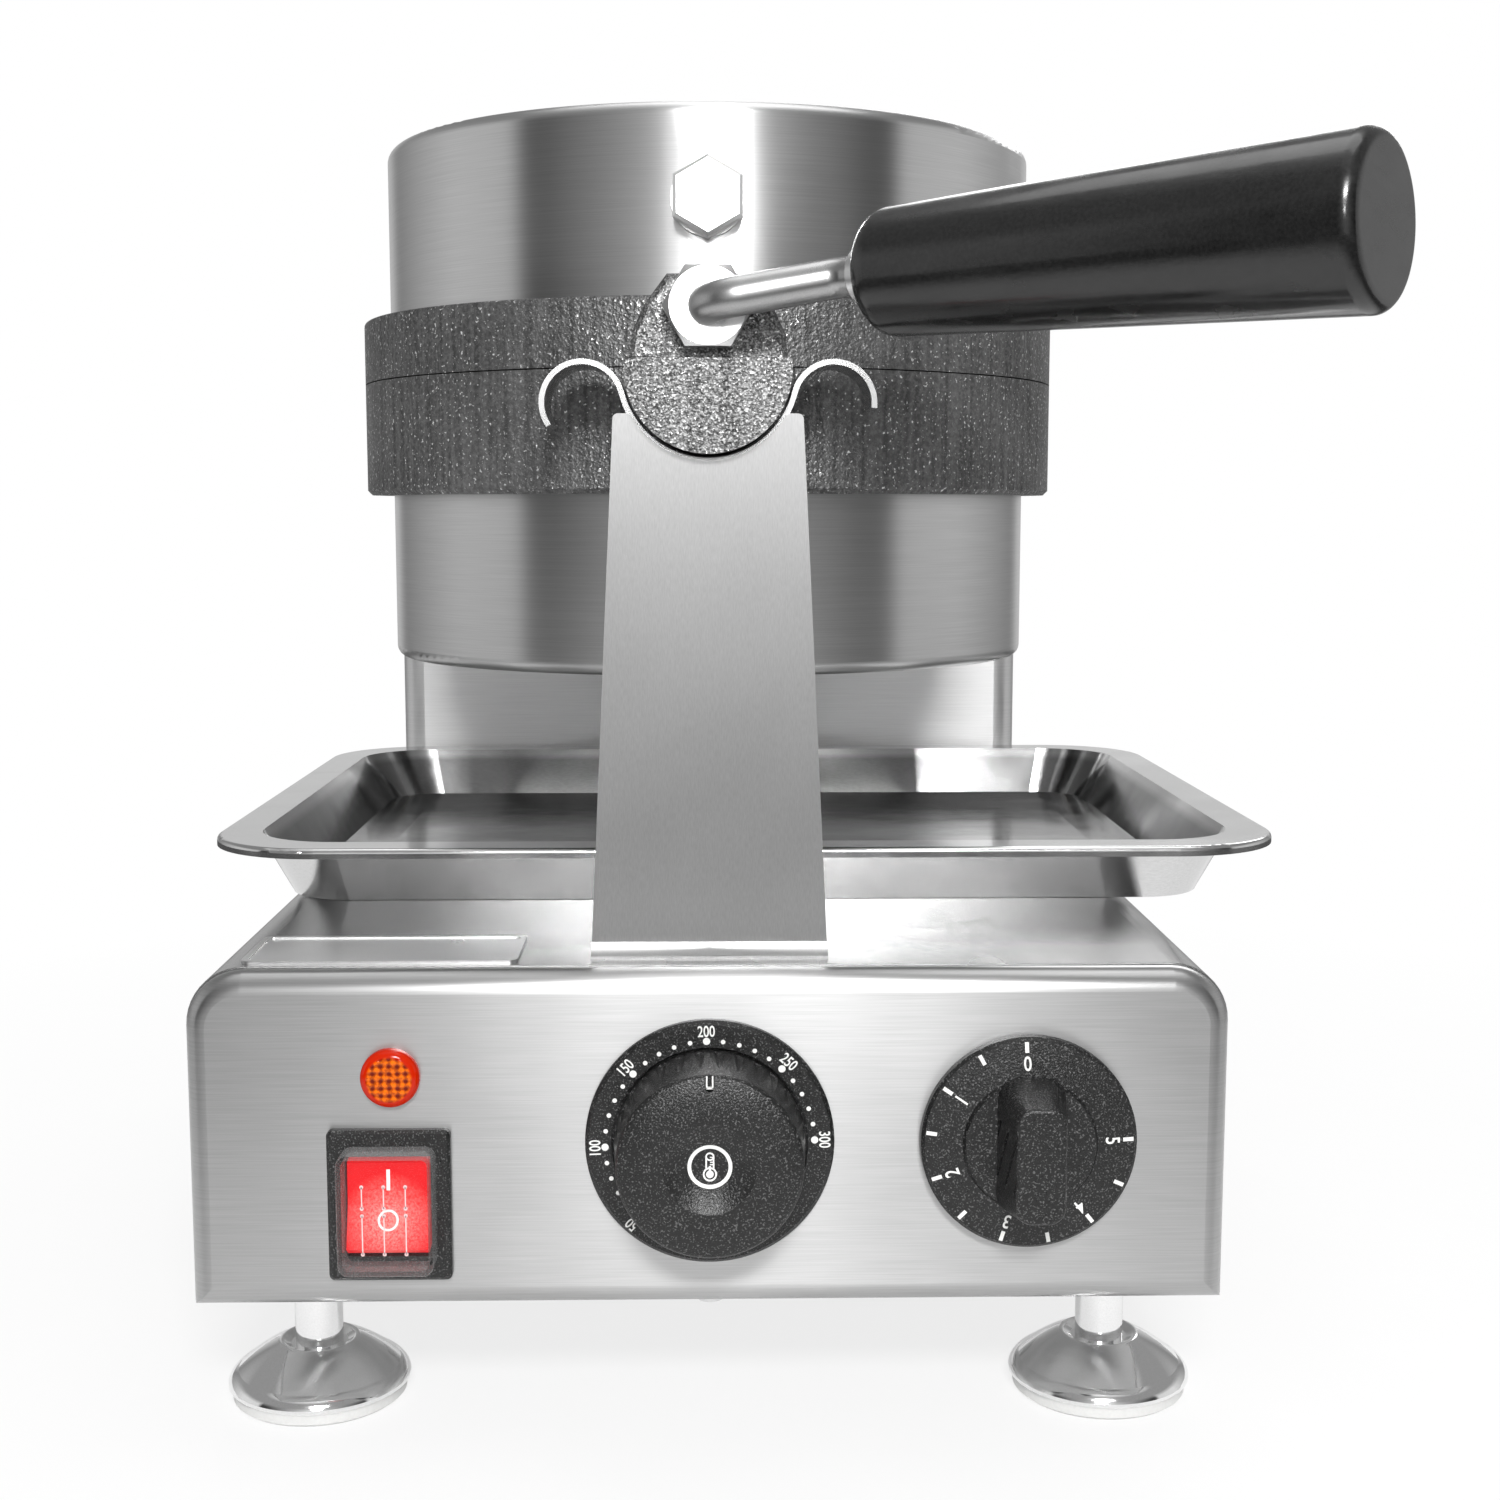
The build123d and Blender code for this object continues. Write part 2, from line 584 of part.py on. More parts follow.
def heating_ring(height, lead):
    """Tubular heating element: an open ring with two ends that turn away from the plate."""
    open_angle = 20
    with BuildSketch(turned_upright(0, 0)) as tube_section:
        with Locations((HEATER_R, height)):
            Circle(HEATER_TUBE_R)
    revolve(tube_section.sketch, axis=Axis((MID_X, 0, 0), (0, 0, 1)), revolution_arc=360 - open_angle)
    with BuildSketch(level(height)) as pins:
        with PolarLocations(HEATER_R, 2, start_angle=-open_angle, angular_range=open_angle, endpoint=True):
            Circle(HEATER_TUBE_R - 0.4)
    extrude(pins.sketch, amount=lead)


with BuildPart() as lower_heater:
    heating_ring(LOWER_FLOOR - HEATER_TUBE_R - 0.05, -12)
save(lower_heater, "lower_heater")

with BuildPart() as lower_insulation:
    with BuildSketch(level(LOWER_RIM - 4)):
        Circle(INSULATION_R)
        with Locations((0, BOLT_LUG_Y - 4)):
            Rectangle(INSULATION_NOTCH, INSULATION_NOTCH, mode=Mode.SUBTRACT)
    extrude(amount=-INSULATION_DEPTH)
save(lower_insulation, "lower_insulation")

with BuildPart() as lower_drum:
    with BuildSketch(level(SEAM_Z - LOWER_DRUM)):
        Circle(DRUM_R)
    extrude(amount=LOWER_DRUM - LOWER_RING + DRUM_TUCK)
    fillet(lower_drum.faces().sort_by(Axis.Z)[0].edges(), DRUM_EDGE)
    offset(amount=-DRUM_SHEET, openings=lower_drum.faces().sort_by(Axis.Z)[-1])
    with BuildSketch(facing(-60)):
        with Locations((0, LOWER_BOLT_Z)):
            Circle(DRUM_BOLT_R + 0.1)
    extrude(amount=40, mode=Mode.SUBTRACT)
save(lower_drum, "lower_drum")


def drum_bolt(height):
    """Hexagon bolt that ties a drum to its plate: domed head, washer face and shank."""
    head_y = -DRUM_R
    washer = 1.6
    with BuildSketch(facing(head_y)) as face:
        with Locations((0, height)):
            Circle(8.6)
    extrude(face.sketch, amount=washer)
    with BuildSketch(facing(head_y - washer)) as head:
        with Locations((0, height)):
            RegularPolygon(8.0, 6, major_radius=False, rotation=30)
    extrude(head.sketch, amount=5.4)
    with BuildSketch(facing(head_y)) as shank:
        with Locations((0, height)):
            Circle(DRUM_BOLT_R)
    extrude(shank.sketch, amount=-12)


with BuildPart() as lower_bolt:
    drum_bolt(LOWER_BOLT_Z)
    chamfer(lower_bolt.faces().sort_by(Axis.Y)[0].edges(), 0.8)
save(lower_bolt, "lower_bolt")

SHAFT_FLANGE = 5.0
SHAFT_END = BACK_Y - 8.0
SHAFT_BORE = 6.0
FLANGE_BOLT_R = 2.0
FLANGE_BOLT_RING = 15.5
flange_bolts = [
    (FLANGE_BOLT_RING * cos(radians(turn)), AXIS_Z + FLANGE_BOLT_RING * sin(radians(turn)))
    for turn in (45, 135, 225, 315)
]

with BuildPart() as rotor_shaft:
    with BuildSketch(facing(HUB_BACK)):
        with Locations((0, AXIS_Z)):
            Circle(HUB_R)
    extrude(amount=-SHAFT_FLANGE)
    with BuildSketch(facing(HUB_BACK)):
        with Locations((0, AXIS_Z)):
            Circle(SHAFT_R)
    extrude(amount=-(SHAFT_END - HUB_BACK))
    with BuildSketch(facing(HUB_BACK)):
        with Locations((0, AXIS_Z)):
            Circle(SHAFT_BORE)
        with Locations(*flange_bolts):
            Circle(FLANGE_BOLT_R + 0.1)
    extrude(amount=-(SHAFT_END - HUB_BACK), mode=Mode.SUBTRACT)
save(rotor_shaft, "rotor_shaft")

with BuildPart() as shaft_bolts:
    bolt_face = Plane(origin=(MID_X, HUB_BACK + SHAFT_FLANGE, 0), x_dir=(-1, 0, 0), z_dir=(0, 1, 0))
    with BuildSketch(bolt_face):
        with Locations(*[(-x, z) for x, z in flange_bolts]):
            RegularPolygon(3.5, 6, major_radius=False)
    extrude(amount=2.8)
    with BuildSketch(bolt_face):
        with Locations(*[(-x, z) for x, z in flange_bolts]):
            Circle(FLANGE_BOLT_R)
    extrude(amount=-SHAFT_FLANGE)
save(shaft_bolts, "shaft_bolts")

with BuildPart() as shaft_collar:
    with BuildSketch(facing(COLLAR_Y)):
        with Locations((0, AXIS_Z)):
            Circle(COLLAR_R)
        with Locations(((SHAFT_R + STOP_ARM) / 2, AXIS_Z)):
            Rectangle(STOP_ARM - SHAFT_R, STOP_ARM_HEIGHT)
        with Locations((0, AXIS_Z)):
            Circle(SHAFT_R, mode=Mode.SUBTRACT)
    extrude(amount=-COLLAR_DEPTH)
save(shaft_collar, "shaft_collar")

with BuildPart() as hinge_pin:
    with BuildSketch(across(-LUG_OUTER - 2.4)):
        with Locations((HINGE_Y, HINGE_Z)):
            Circle(HINGE_PIN_R)
    extrude(amount=2 * (LUG_OUTER + 2.4))
    chamfer(hinge_pin.faces().filter_by(Axis.X).edges(), 0.4)
    for groove_x in (-LUG_OUTER - 1.1, LUG_OUTER + 0.2):
        with BuildSketch(across(groove_x)):
            with Locations((HINGE_Y, HINGE_Z)):
                Circle(HINGE_PIN_R + 1)
                Circle(HINGE_PIN_R - 0.6, mode=Mode.SUBTRACT)
        extrude(amount=0.9, mode=Mode.SUBTRACT)
save(hinge_pin, "hinge_pin")

with BuildPart() as hinge_clips:
    for groove_x in (-LUG_OUTER - 1.0, LUG_OUTER + 0.3):
        with BuildSketch(across(groove_x)):
            with Locations((HINGE_Y, HINGE_Z)):
                Circle(5.2)
                Circle(HINGE_PIN_R - 0.5, mode=Mode.SUBTRACT)
            with Locations((HINGE_Y, HINGE_Z - 4)):
                Rectangle(3.6, 6, mode=Mode.SUBTRACT)
        extrude(amount=0.7)
save(hinge_clips, "hinge_clips")

with BuildPart() as thermostat_bulb:
    with BuildSketch(facing(88)):
        with Locations((BULB_X, BULB_Z)):
            Circle(BULB_R)
    extrude(amount=66)
save(thermostat_bulb, "thermostat_bulb")

# ---------------------------------------------------------------- upper half of the head

trunnion_outline = [
    (-UPPER_TRUNNION_R, UPPER_FACE),
    (UPPER_TRUNNION_R, UPPER_FACE),
    (UPPER_TRUNNION_R - 0.4, SEAM_Z + 5.0),
    (UPPER_TRUNNION_R - 3.2, SEAM_Z + 11.0),
    (UPPER_TRUNNION_R - 8.4, TRUNNION_TOP),
    (8.4 - UPPER_TRUNNION_R, TRUNNION_TOP),
    (3.6 - UPPER_TRUNNION_R, SEAM_Z + 11.6),
    (0.8 - UPPER_TRUNNION_R, SEAM_Z + 5.6),
]

with BuildPart() as trunnion_lip:
    with BuildSketch(facing(UPPER_TRUNNION_Y)):
        Polygon(*trunnion_outline, align=None)
    extrude(amount=-TRUNNION_LIP)
    chamfer(trunnion_lip.faces().sort_by(Axis.Y)[0].edges().sort_by(Axis.Z)[1:], TRUNNION_LIP - 0.3)

with BuildPart() as upper_plate:
    with BuildSketch(level(UPPER_FACE)):
        Circle(RING_R)
    extrude(amount=UPPER_RIM - UPPER_FACE)
    fillet(upper_plate.faces().sort_by(Axis.Z)[-1].edges(), 1.0)
    # upper half of the trunnion, flattened on top; behind its front lip it stays inside the
    # round of the lower half, so that it drops into the cradle when the head is turned over
    with BuildSketch(facing(UPPER_TRUNNION_Y + TRUNNION_LIP)):
        Polygon(*trunnion_outline, align=None)
        with Locations((0, AXIS_Z)):
            Circle(TRUNNION_R, mode=Mode.INTERSECT)
    extrude(amount=UPPER_TRUNNION_Y + RING_R - 6)
    add(trunnion_lip.part)
    # arm to the hinge pin
    arm_half = LUG_INNER - JOINT_GAP
    with BuildSketch(across(-arm_half)):
        with Locations((HINGE_Y, HINGE_Z)):
            Circle(HINGE_EYE_R)
        with Locations(((HINGE_Y + 84) / 2, HINGE_Z)):
            Rectangle(HINGE_Y - 84, 2 * HINGE_EYE_R)
    extrude(amount=2 * arm_half)
    with BuildSketch(level(UPPER_RIM)):
        Circle(CAVITY_R)
    extrude(amount=-(UPPER_RIM - UPPER_FLOOR), mode=Mode.SUBTRACT)
    with BuildSketch(level(UPPER_FLOOR)):
        with Locations((0, BOLT_LUG_Y)):
            Rectangle(2 * BOLT_LUG_HALF, 10)
    extrude(amount=UPPER_BOLT_Z + BOLT_LUG_HALF - UPPER_FLOOR)
    with BuildSketch(facing(BOLT_LUG_Y)):
        with Locations((0, UPPER_BOLT_Z)):
            Circle(DRUM_BOLT_R)
    extrude(amount=8, both=True, mode=Mode.SUBTRACT)
    with BuildSketch(facing(UPPER_TRUNNION_Y)):
        with Locations((0, NUT_Z)):
            Circle(ROD_R)
    extrude(amount=-(ROD_TUCK + 2), mode=Mode.SUBTRACT)
    with BuildSketch(across(-LUG_OUTER)):
        with Locations((HINGE_Y, HINGE_Z)):
            Circle(HINGE_PIN_R + RUNNING_FIT)
    extrude(amount=2 * LUG_OUTER, mode=Mode.SUBTRACT)
    with BuildSketch(level(UPPER_FACE)):
        Circle(GRID_R + 2)
    extrude(amount=PLATE_RECESS, mode=Mode.SUBTRACT)
    with BuildSketch(level(UPPER_FACE + PLATE_RECESS)):
        with Locations(*grid_spots):
            Rectangle(GRID_POCKET, GRID_POCKET)
    extrude(amount=GRID_DEPTH, taper=20, mode=Mode.SUBTRACT)
save(upper_plate, "upper_plate")

with BuildPart() as upper_heater:
    heating_ring(UPPER_FLOOR + HEATER_TUBE_R + 0.05, 6)
save(upper_heater, "upper_heater")

with BuildPart() as upper_insulation:
    with BuildSketch(level(UPPER_RIM + 4)):
        Circle(INSULATION_R)
        with Locations((0, BOLT_LUG_Y - 4)):
            Rectangle(INSULATION_NOTCH, INSULATION_NOTCH, mode=Mode.SUBTRACT)
    extrude(amount=INSULATION_DEPTH)
save(upper_insulation, "upper_insulation")

with BuildPart() as upper_drum:
    with BuildSketch(level(UPPER_FLOOR + 0.2)):
        Circle(DRUM_R)
    extrude(amount=SEAM_Z + UPPER_DRUM - UPPER_FLOOR - 0.2)
    fillet(upper_drum.faces().sort_by(Axis.Z)[-1].edges(), DRUM_EDGE)
    offset(amount=-DRUM_SHEET, openings=upper_drum.faces().sort_by(Axis.Z)[0])
    with BuildSketch(facing(-60)):
        with Locations((0, UPPER_BOLT_Z)):
            Circle(DRUM_BOLT_R + 0.1)
    extrude(amount=40, mode=Mode.SUBTRACT)
save(upper_drum, "upper_drum")

with BuildPart() as upper_bolt:
    drum_bolt(UPPER_BOLT_Z)
    chamfer(upper_bolt.faces().sort_by(Axis.Y)[0].edges(), 0.8)
save(upper_bolt, "upper_bolt")

# ---------------------------------------------------------------- handle

NUT_THICK = 7.0
NUT_BEVEL = 1.9
FERRULE = 4.4
FERRULE_R = 5.7
GRIP_BORE = 42.0
GRIP_ROUND = 5.4        # rounding of the grip's inner end
ROD_REACH = 40.0        # how far the rod runs inside the grip

with BuildPart() as handle_nut:
    with BuildSketch(facing(UPPER_TRUNNION_Y)):
        with Locations((0, NUT_Z)):
            RegularPolygon(NUT_FLATS / 2, 6, major_radius=False)
            Circle(ROD_R, mode=Mode.SUBTRACT)
    extrude(amount=NUT_THICK)
    nut_front = turned_forward(0, NUT_Z, UPPER_TRUNNION_Y)
    with BuildSketch(nut_front):
        Polygon(
            (NUT_FLATS / 2 - 0.2, NUT_THICK),
            (NUT_FLATS / 2 + 3, NUT_THICK),
            (NUT_FLATS / 2 + 3, NUT_THICK - NUT_BEVEL),
            align=None,
        )
    revolve(axis=Axis(nut_front.origin, nut_front.y_dir), mode=Mode.SUBTRACT)
save(handle_nut, "handle_nut")

grip_start = Vector(*GRIP_START)
grip_end = Vector(*GRIP_END)
grip_way = (grip_end - grip_start).normalized()
grip_length = (grip_end - grip_start).length
grip_plane = Plane(origin=grip_start, z_dir=grip_way)
rod_root = Vector(MID_X, UPPER_TRUNNION_Y + ROD_TUCK, NUT_Z)
rod_bend = Vector(MID_X, FRONT_Y - 1.8, NUT_Z)
rod_turn = grip_start - grip_way * 5
rod_tip = grip_start + grip_way * ROD_REACH

with BuildPart() as handle_rod:
    with BuildLine():
        FilletPolyline(rod_root, rod_bend, rod_turn, rod_tip, radius=[6.5, 8.0])
    with BuildSketch(Plane(origin=rod_root, z_dir=(0, -1, 0))):
        Circle(ROD_R)
    sweep()
save(handle_rod, "handle_rod")

with BuildPart() as handle_ferrule:
    with BuildSketch(grip_plane):
        Circle(FERRULE_R)
        Circle(ROD_R, mode=Mode.SUBTRACT)
    extrude(amount=FERRULE)
    chamfer(handle_ferrule.edges().filter_by(GeomType.CIRCLE).group_by(SortBy.RADIUS)[-1], 0.5)
save(handle_ferrule, "handle_ferrule")

cap_start = grip_length - GRIP_CAP
cap_r = GRIP_START_R + (GRIP_END_R - GRIP_START_R) * cap_start / grip_length
with BuildPart() as grip:
    with BuildSketch(grip_plane.offset(FERRULE)):
        Circle(GRIP_START_R)
    with BuildSketch(grip_plane.offset(cap_start)):
        Circle(cap_r)
    loft()
    fillet(grip.edges().filter_by(GeomType.CIRCLE).group_by(SortBy.RADIUS)[0], GRIP_ROUND)
    with BuildSketch(grip_plane):
        Circle(ROD_R)
    extrude(amount=GRIP_BORE, mode=Mode.SUBTRACT)
save(grip, "grip")

with BuildPart() as grip_cap:
    with BuildSketch(grip_plane.offset(cap_start)):
        Circle(cap_r)
    with BuildSketch(grip_plane.offset(grip_length)):
        Circle(GRIP_END_R)
    loft()
    cap_rim = grip_cap.edges().filter_by(GeomType.CIRCLE).group_by(SortBy.RADIUS)[-1]
    fillet(cap_rim, GRIP_CAP / 2)
save(grip_cap, "grip_cap")

# ---------------------------------------------------------------- tray

TRAY_CORNER = 30.0
MOUTH_LENGTH = 254.0
MOUTH_WIDTH = 195.0
FLOOR_LENGTH = 236.0
FLOOR_WIDTH = 185.0
FLOOR_CORNER = 16.0
MOUTH_CORNER = 22.0
RIM_ROLL = 2.5          # width of the turned-down edge
PANEL_LENGTH = 206.0    # the floor's middle, pressed up a little
PANEL_WIDTH = 155.0
PANEL_RISE = 1.2


def tray_plane(height):
    """Horizontal plane through the middle of the tray."""
    return Plane(origin=(0, TRAY_Y, height))


def tray_pan(bottom, top, grow):
    """Solid of the pan's inside or outside: a slope from the floor up to the mouth."""
    with BuildSketch(tray_plane(bottom)) as low:
        RectangleRounded(FLOOR_LENGTH + 2 * grow, FLOOR_WIDTH + 2 * grow, FLOOR_CORNER + grow)
    with BuildSketch(tray_plane(top)) as high:
        RectangleRounded(MOUTH_LENGTH + 2 * grow, MOUTH_WIDTH + 2 * grow, MOUTH_CORNER + grow)
    return low.sketch, high.sketch


with BuildPart() as tray:
    outer_low, outer_high = tray_pan(TRAY_BOTTOM, TRAY_TOP, TRAY_SHEET)
    loft([outer_low, outer_high])
    with BuildSketch(tray_plane(TRAY_TOP)):
        RectangleRounded(TRAY_LENGTH, TRAY_WIDTH, TRAY_CORNER)
    extrude(amount=-TRAY_SHEET)
    with BuildSketch(tray_plane(TRAY_TOP)):
        RectangleRounded(TRAY_LENGTH, TRAY_WIDTH, TRAY_CORNER)
        inside = (TRAY_LENGTH - 2 * RIM_ROLL, TRAY_WIDTH - 2 * RIM_ROLL, TRAY_CORNER - RIM_ROLL)
        RectangleRounded(*inside, mode=Mode.SUBTRACT)
    extrude(amount=-RIM_ROLL)
    inner_low, inner_high = tray_pan(TRAY_BOTTOM + TRAY_SHEET, TRAY_TOP + 0.01, 0)
    loft([inner_low, inner_high], mode=Mode.SUBTRACT)
    with BuildSketch(tray_plane(TRAY_BOTTOM + TRAY_SHEET)):
        RectangleRounded(PANEL_LENGTH, PANEL_WIDTH, 12)
    extrude(amount=PANEL_RISE, taper=30)
    with BuildSketch(tray_plane(TRAY_BOTTOM)):
        RectangleRounded(PANEL_LENGTH - 2, PANEL_WIDTH - 2, 11)
    extrude(amount=PANEL_RISE, taper=30, mode=Mode.SUBTRACT)
    rim_edges = tray.faces().sort_by(Axis.Z)[-1].outer_wire().edges()
    fillet(rim_edges, 1.2)
save(tray, "tray")

# ---------------------------------------------------------------- controls

BEZEL_THICK = 2.6
BEZEL_BORE = 21.5
BEZEL_FLOOR = 0.8
KNOB_FLOOR = 1.1        # the knobs' backs stand this far off the panel
KNOB_R = 20.9
KNOB_SIDE = 18.2        # height of the thermostat knob's side
KNOB_FRONT = 20.4       # rim of the hollow in its middle
BOWL_EDGE_R = 9.8
BOWL_R = 19.0           # the hollow is part of a ball of this radius
bowl_floor = KNOB_FRONT - BOWL_R + sqrt(BOWL_R**2 - BOWL_EDGE_R**2)
bowl_middle = bowl_floor + BOWL_R - sqrt(BOWL_R**2 - (BOWL_EDGE_R / 2) ** 2)
FLUTE_COUNT = 30
BAR_DEPTH = 20.6        # front of the timer's bar
BAR_FOOT = (15.0, 30.6)
BAR_FACE = (10.6, 25.0)
NOTCH_DEPTH = 2.3       # of the bar's finger notches, at its foot
SPINDLE_BACK = -18.0

with BuildPart() as thermostat_bezel:
    bezel = turned_forward(0, CONTROL_Z)
    with BuildSketch(bezel):
        Polygon(
            (SPINDLE_HOLE, 0),
            (BEZEL_R, 0),
            (BEZEL_R, 1.4),
            (BEZEL_R - 0.9, BEZEL_THICK),
            (BEZEL_BORE, BEZEL_THICK),
            (BEZEL_BORE, BEZEL_FLOOR),
            (SPINDLE_HOLE, BEZEL_FLOOR),
            align=None,
        )
    spin(bezel)
save(thermostat_bezel, "thermostat_bezel")

with BuildPart() as thermostat_knob:
    dished = turned_forward(0, CONTROL_Z)
    with BuildSketch(dished):
        with BuildLine():
            Polyline((0, bowl_floor), (0, 13.0), (SPINDLE_R, 13.0), (SPINDLE_R, KNOB_FLOOR))
            Polyline((SPINDLE_R, KNOB_FLOOR), (KNOB_R, KNOB_FLOOR), (KNOB_R, 3.4), (20.0, KNOB_SIDE))
            RadiusArc((20.0, KNOB_SIDE), (18.8, 19.3), -1.4)
            ThreePointArc((18.8, 19.3), (14.4, 20.2), (BOWL_EDGE_R, KNOB_FRONT))
            ThreePointArc((BOWL_EDGE_R, KNOB_FRONT), (BOWL_EDGE_R / 2, bowl_middle), (0, bowl_floor))
        make_face()
    spin(dished)
    # grip flutes round the side and a notch for the pointer
    with BuildSketch(facing(FRONT_Y - 3.6)):
        with Locations((0, CONTROL_Z)):
            with PolarLocations(KNOB_R + 0.7, FLUTE_COUNT):
                Circle(1.35)
    extrude(amount=14.4, mode=Mode.SUBTRACT)
    with BuildSketch(facing(FRONT_Y - KNOB_SIDE)):
        with Locations((0, CONTROL_Z + 18.9)):
            SlotOverall(4.6, 1.9, rotation=90)
    extrude(amount=4, mode=Mode.SUBTRACT)
save(thermostat_knob, "thermostat_knob")

with BuildPart() as timer_knob:
    skirt = turned_forward(TIMER_X, CONTROL_Z)
    with BuildSketch(skirt):
        Polygon(
            (SPINDLE_R, KNOB_FLOOR),
            (TIMER_R, KNOB_FLOOR),
            (TIMER_R, 3.2),
            (TIMER_R - 0.7, 4.0),
            (14.8, 5.0),
            (14.2, 6.0),
            (0, 6.4),
            (0, 5.6),
            (SPINDLE_R, 5.6),
            align=None,
        )
    spin(skirt)
    with BuildSketch(facing(FRONT_Y - 5.6)):
        with Locations((TIMER_X, CONTROL_Z)):
            RectangleRounded(*BAR_FOOT, 5.0)
    with BuildSketch(facing(FRONT_Y - BAR_DEPTH)):
        with Locations((TIMER_X, CONTROL_Z)):
            RectangleRounded(*BAR_FACE, 3.6)
    loft()
    fillet(timer_knob.faces().sort_by(Axis.Y)[0].edges(), 0.9)
    # slanted finger notches along both sides of the bar
    for side in (-1, 1):
        notch_x = MID_X + TIMER_X + side * 7.4
        with BuildSketch(Plane(origin=(notch_x, FRONT_Y - 13.5, CONTROL_Z), z_dir=(side, 0, 0))):
            with Locations((0, -9), (0, -3), (0, 3), (0, 9)):
                Rectangle(16.0, 1.1, rotation=-32)
        extrude(amount=-NOTCH_DEPTH, mode=Mode.SUBTRACT)
save(timer_knob, "timer_knob")


def spindle(offset, reach):
    """Round spindle with a flat, from inside the control into its knob."""
    with BuildSketch(facing(FRONT_Y - SPINDLE_BACK)) as round_bar:
        with Locations((offset, CONTROL_Z)):
            Circle(SPINDLE_R)
    extrude(round_bar.sketch, amount=reach - SPINDLE_BACK)


with BuildPart() as thermostat_spindle:
    spindle(0, 12.6)
save(thermostat_spindle, "thermostat_spindle")

with BuildPart() as timer_spindle:
    spindle(TIMER_X, 5.2)
save(timer_spindle, "timer_spindle")

BODY_FRONT = FRONT_Y + PANEL_FACE + JOINT_GAP
BODY_BEARING = FRONT_Y + 20.0   # depth of the spindle's bore


def control_body(offset, width, height, back_depth):
    """Moulded box behind a control, bored for its spindle."""
    with BuildSketch(facing(BODY_FRONT)) as bored:
        with Locations((offset, CONTROL_Z)):
            RectangleRounded(width, height, 3)
            Circle(SPINDLE_R + RUNNING_FIT, mode=Mode.SUBTRACT)
    extrude(bored.sketch, amount=BODY_FRONT - BODY_BEARING)
    with BuildSketch(facing(BODY_BEARING)) as back:
        with Locations((offset, CONTROL_Z)):
            RectangleRounded(width, height, 3)
    extrude(back.sketch, amount=-back_depth)


with BuildPart() as thermostat_body:
    control_body(0, 34, 40, 14)
save(thermostat_body, "thermostat_body")

with BuildPart() as timer_body:
    control_body(TIMER_X, 44, 48, 12)
save(timer_body, "timer_body")

SWITCH_BEZEL = 2.2
SWITCH_WELL = (18.4, 22.6)
SWITCH_DEPTH = 22.0

with BuildPart() as switch_housing:
    with BuildSketch(facing(FRONT_Y)):
        with Locations((SWITCH_X, SWITCH_Z)):
            RectangleRounded(*SWITCH_FRAME, 1.4)
    extrude(amount=SWITCH_BEZEL)
    chamfer(switch_housing.faces().sort_by(Axis.Y)[0].edges(), 0.7)
    with BuildSketch(facing(FRONT_Y)):
        with Locations((SWITCH_X, SWITCH_Z)):
            Rectangle(*SWITCH_NECK)
    extrude(amount=-SWITCH_DEPTH)
    with BuildSketch(facing(FRONT_Y - SWITCH_BEZEL)):
        with Locations((SWITCH_X, SWITCH_Z)):
            Rectangle(*SWITCH_WELL)
    extrude(amount=-(SWITCH_BEZEL + SWITCH_DEPTH - 6), mode=Mode.SUBTRACT)
save(switch_housing, "switch_housing")

ROCKER_TILT = 10.0
ROCKER_WIDTH = 17.8
rocker_pose = Plane(
    origin=(MID_X + SWITCH_X - ROCKER_WIDTH / 2, FRONT_Y, SWITCH_Z),
    x_dir=(0, cos(radians(ROCKER_TILT)), -sin(radians(ROCKER_TILT))),
    z_dir=(1, 0, 0),
)
with BuildPart() as rocker:
    with BuildSketch(rocker_pose):
        Polygon(
            (-4.0, 9.4),
            (-2.7, 0.0),
            (-4.0, -9.4),
            (-2.0, -10.4),
            (6.0, -7.4),
            (9.0, -3.0),
            (9.0, 3.0),
            (6.0, 7.4),
            (-2.0, 10.4),
            align=None,
        )
    extrude(amount=ROCKER_WIDTH)
save(rocker, "rocker")

COVER_REACH = 8.4       # its front stands this far off the panel, inside
COVER_SIZE = (20.8, 27.0)
COVER_WALL = 1.1

with BuildPart() as switch_cover:
    with BuildSketch(facing(FRONT_Y - SWITCH_BEZEL)):
        with Locations((SWITCH_X, SWITCH_Z)):
            RectangleRounded(*COVER_SIZE, 2.4)
            inside = (COVER_SIZE[0] - 2 * COVER_WALL, COVER_SIZE[1] - 2 * COVER_WALL)
            RectangleRounded(*inside, 1.4, mode=Mode.SUBTRACT)
    extrude(amount=COVER_REACH - SWITCH_BEZEL)
    with BuildSketch(facing(FRONT_Y - COVER_REACH)):
        with Locations((SWITCH_X, SWITCH_Z)):
            RectangleRounded(*COVER_SIZE, 2.4)
    extrude(amount=0.8)
    fillet(switch_cover.faces().sort_by(Axis.Y)[0].edges(), 0.7)
save(switch_cover, "switch_cover")

with BuildPart() as lamp_lens:
    with BuildSketch(facing(FRONT_Y)):
        with Locations((LAMP_X, LAMP_Z)):
            Circle(LAMP_R)
    extrude(amount=2.9)
    fillet(lamp_lens.faces().sort_by(Axis.Y)[0].edges(), 1.9)
    with BuildSketch(facing(FRONT_Y)):
        with Locations((LAMP_X, LAMP_Z)):
            Circle(LAMP_NECK_R)
    extrude(amount=-6)
save(lamp_lens, "lamp_lens")

with BuildPart() as lamp_housing:
    lamp_back = facing(FRONT_Y + PANEL_FACE + 0.1)
    with BuildSketch(lamp_back):
        with Locations((LAMP_X, LAMP_Z)):
            Circle(7.0)
    extrude(amount=-20)
    with BuildSketch(lamp_back):
        with Locations((LAMP_X, LAMP_Z)):
            Circle(LAMP_NECK_R)
    extrude(amount=-5.0, mode=Mode.SUBTRACT)
save(lamp_housing, "lamp_housing")

TERMINAL_SPOT = (30.0, BACK_Y - 60.0)
TERMINAL_HEIGHT = 16.0

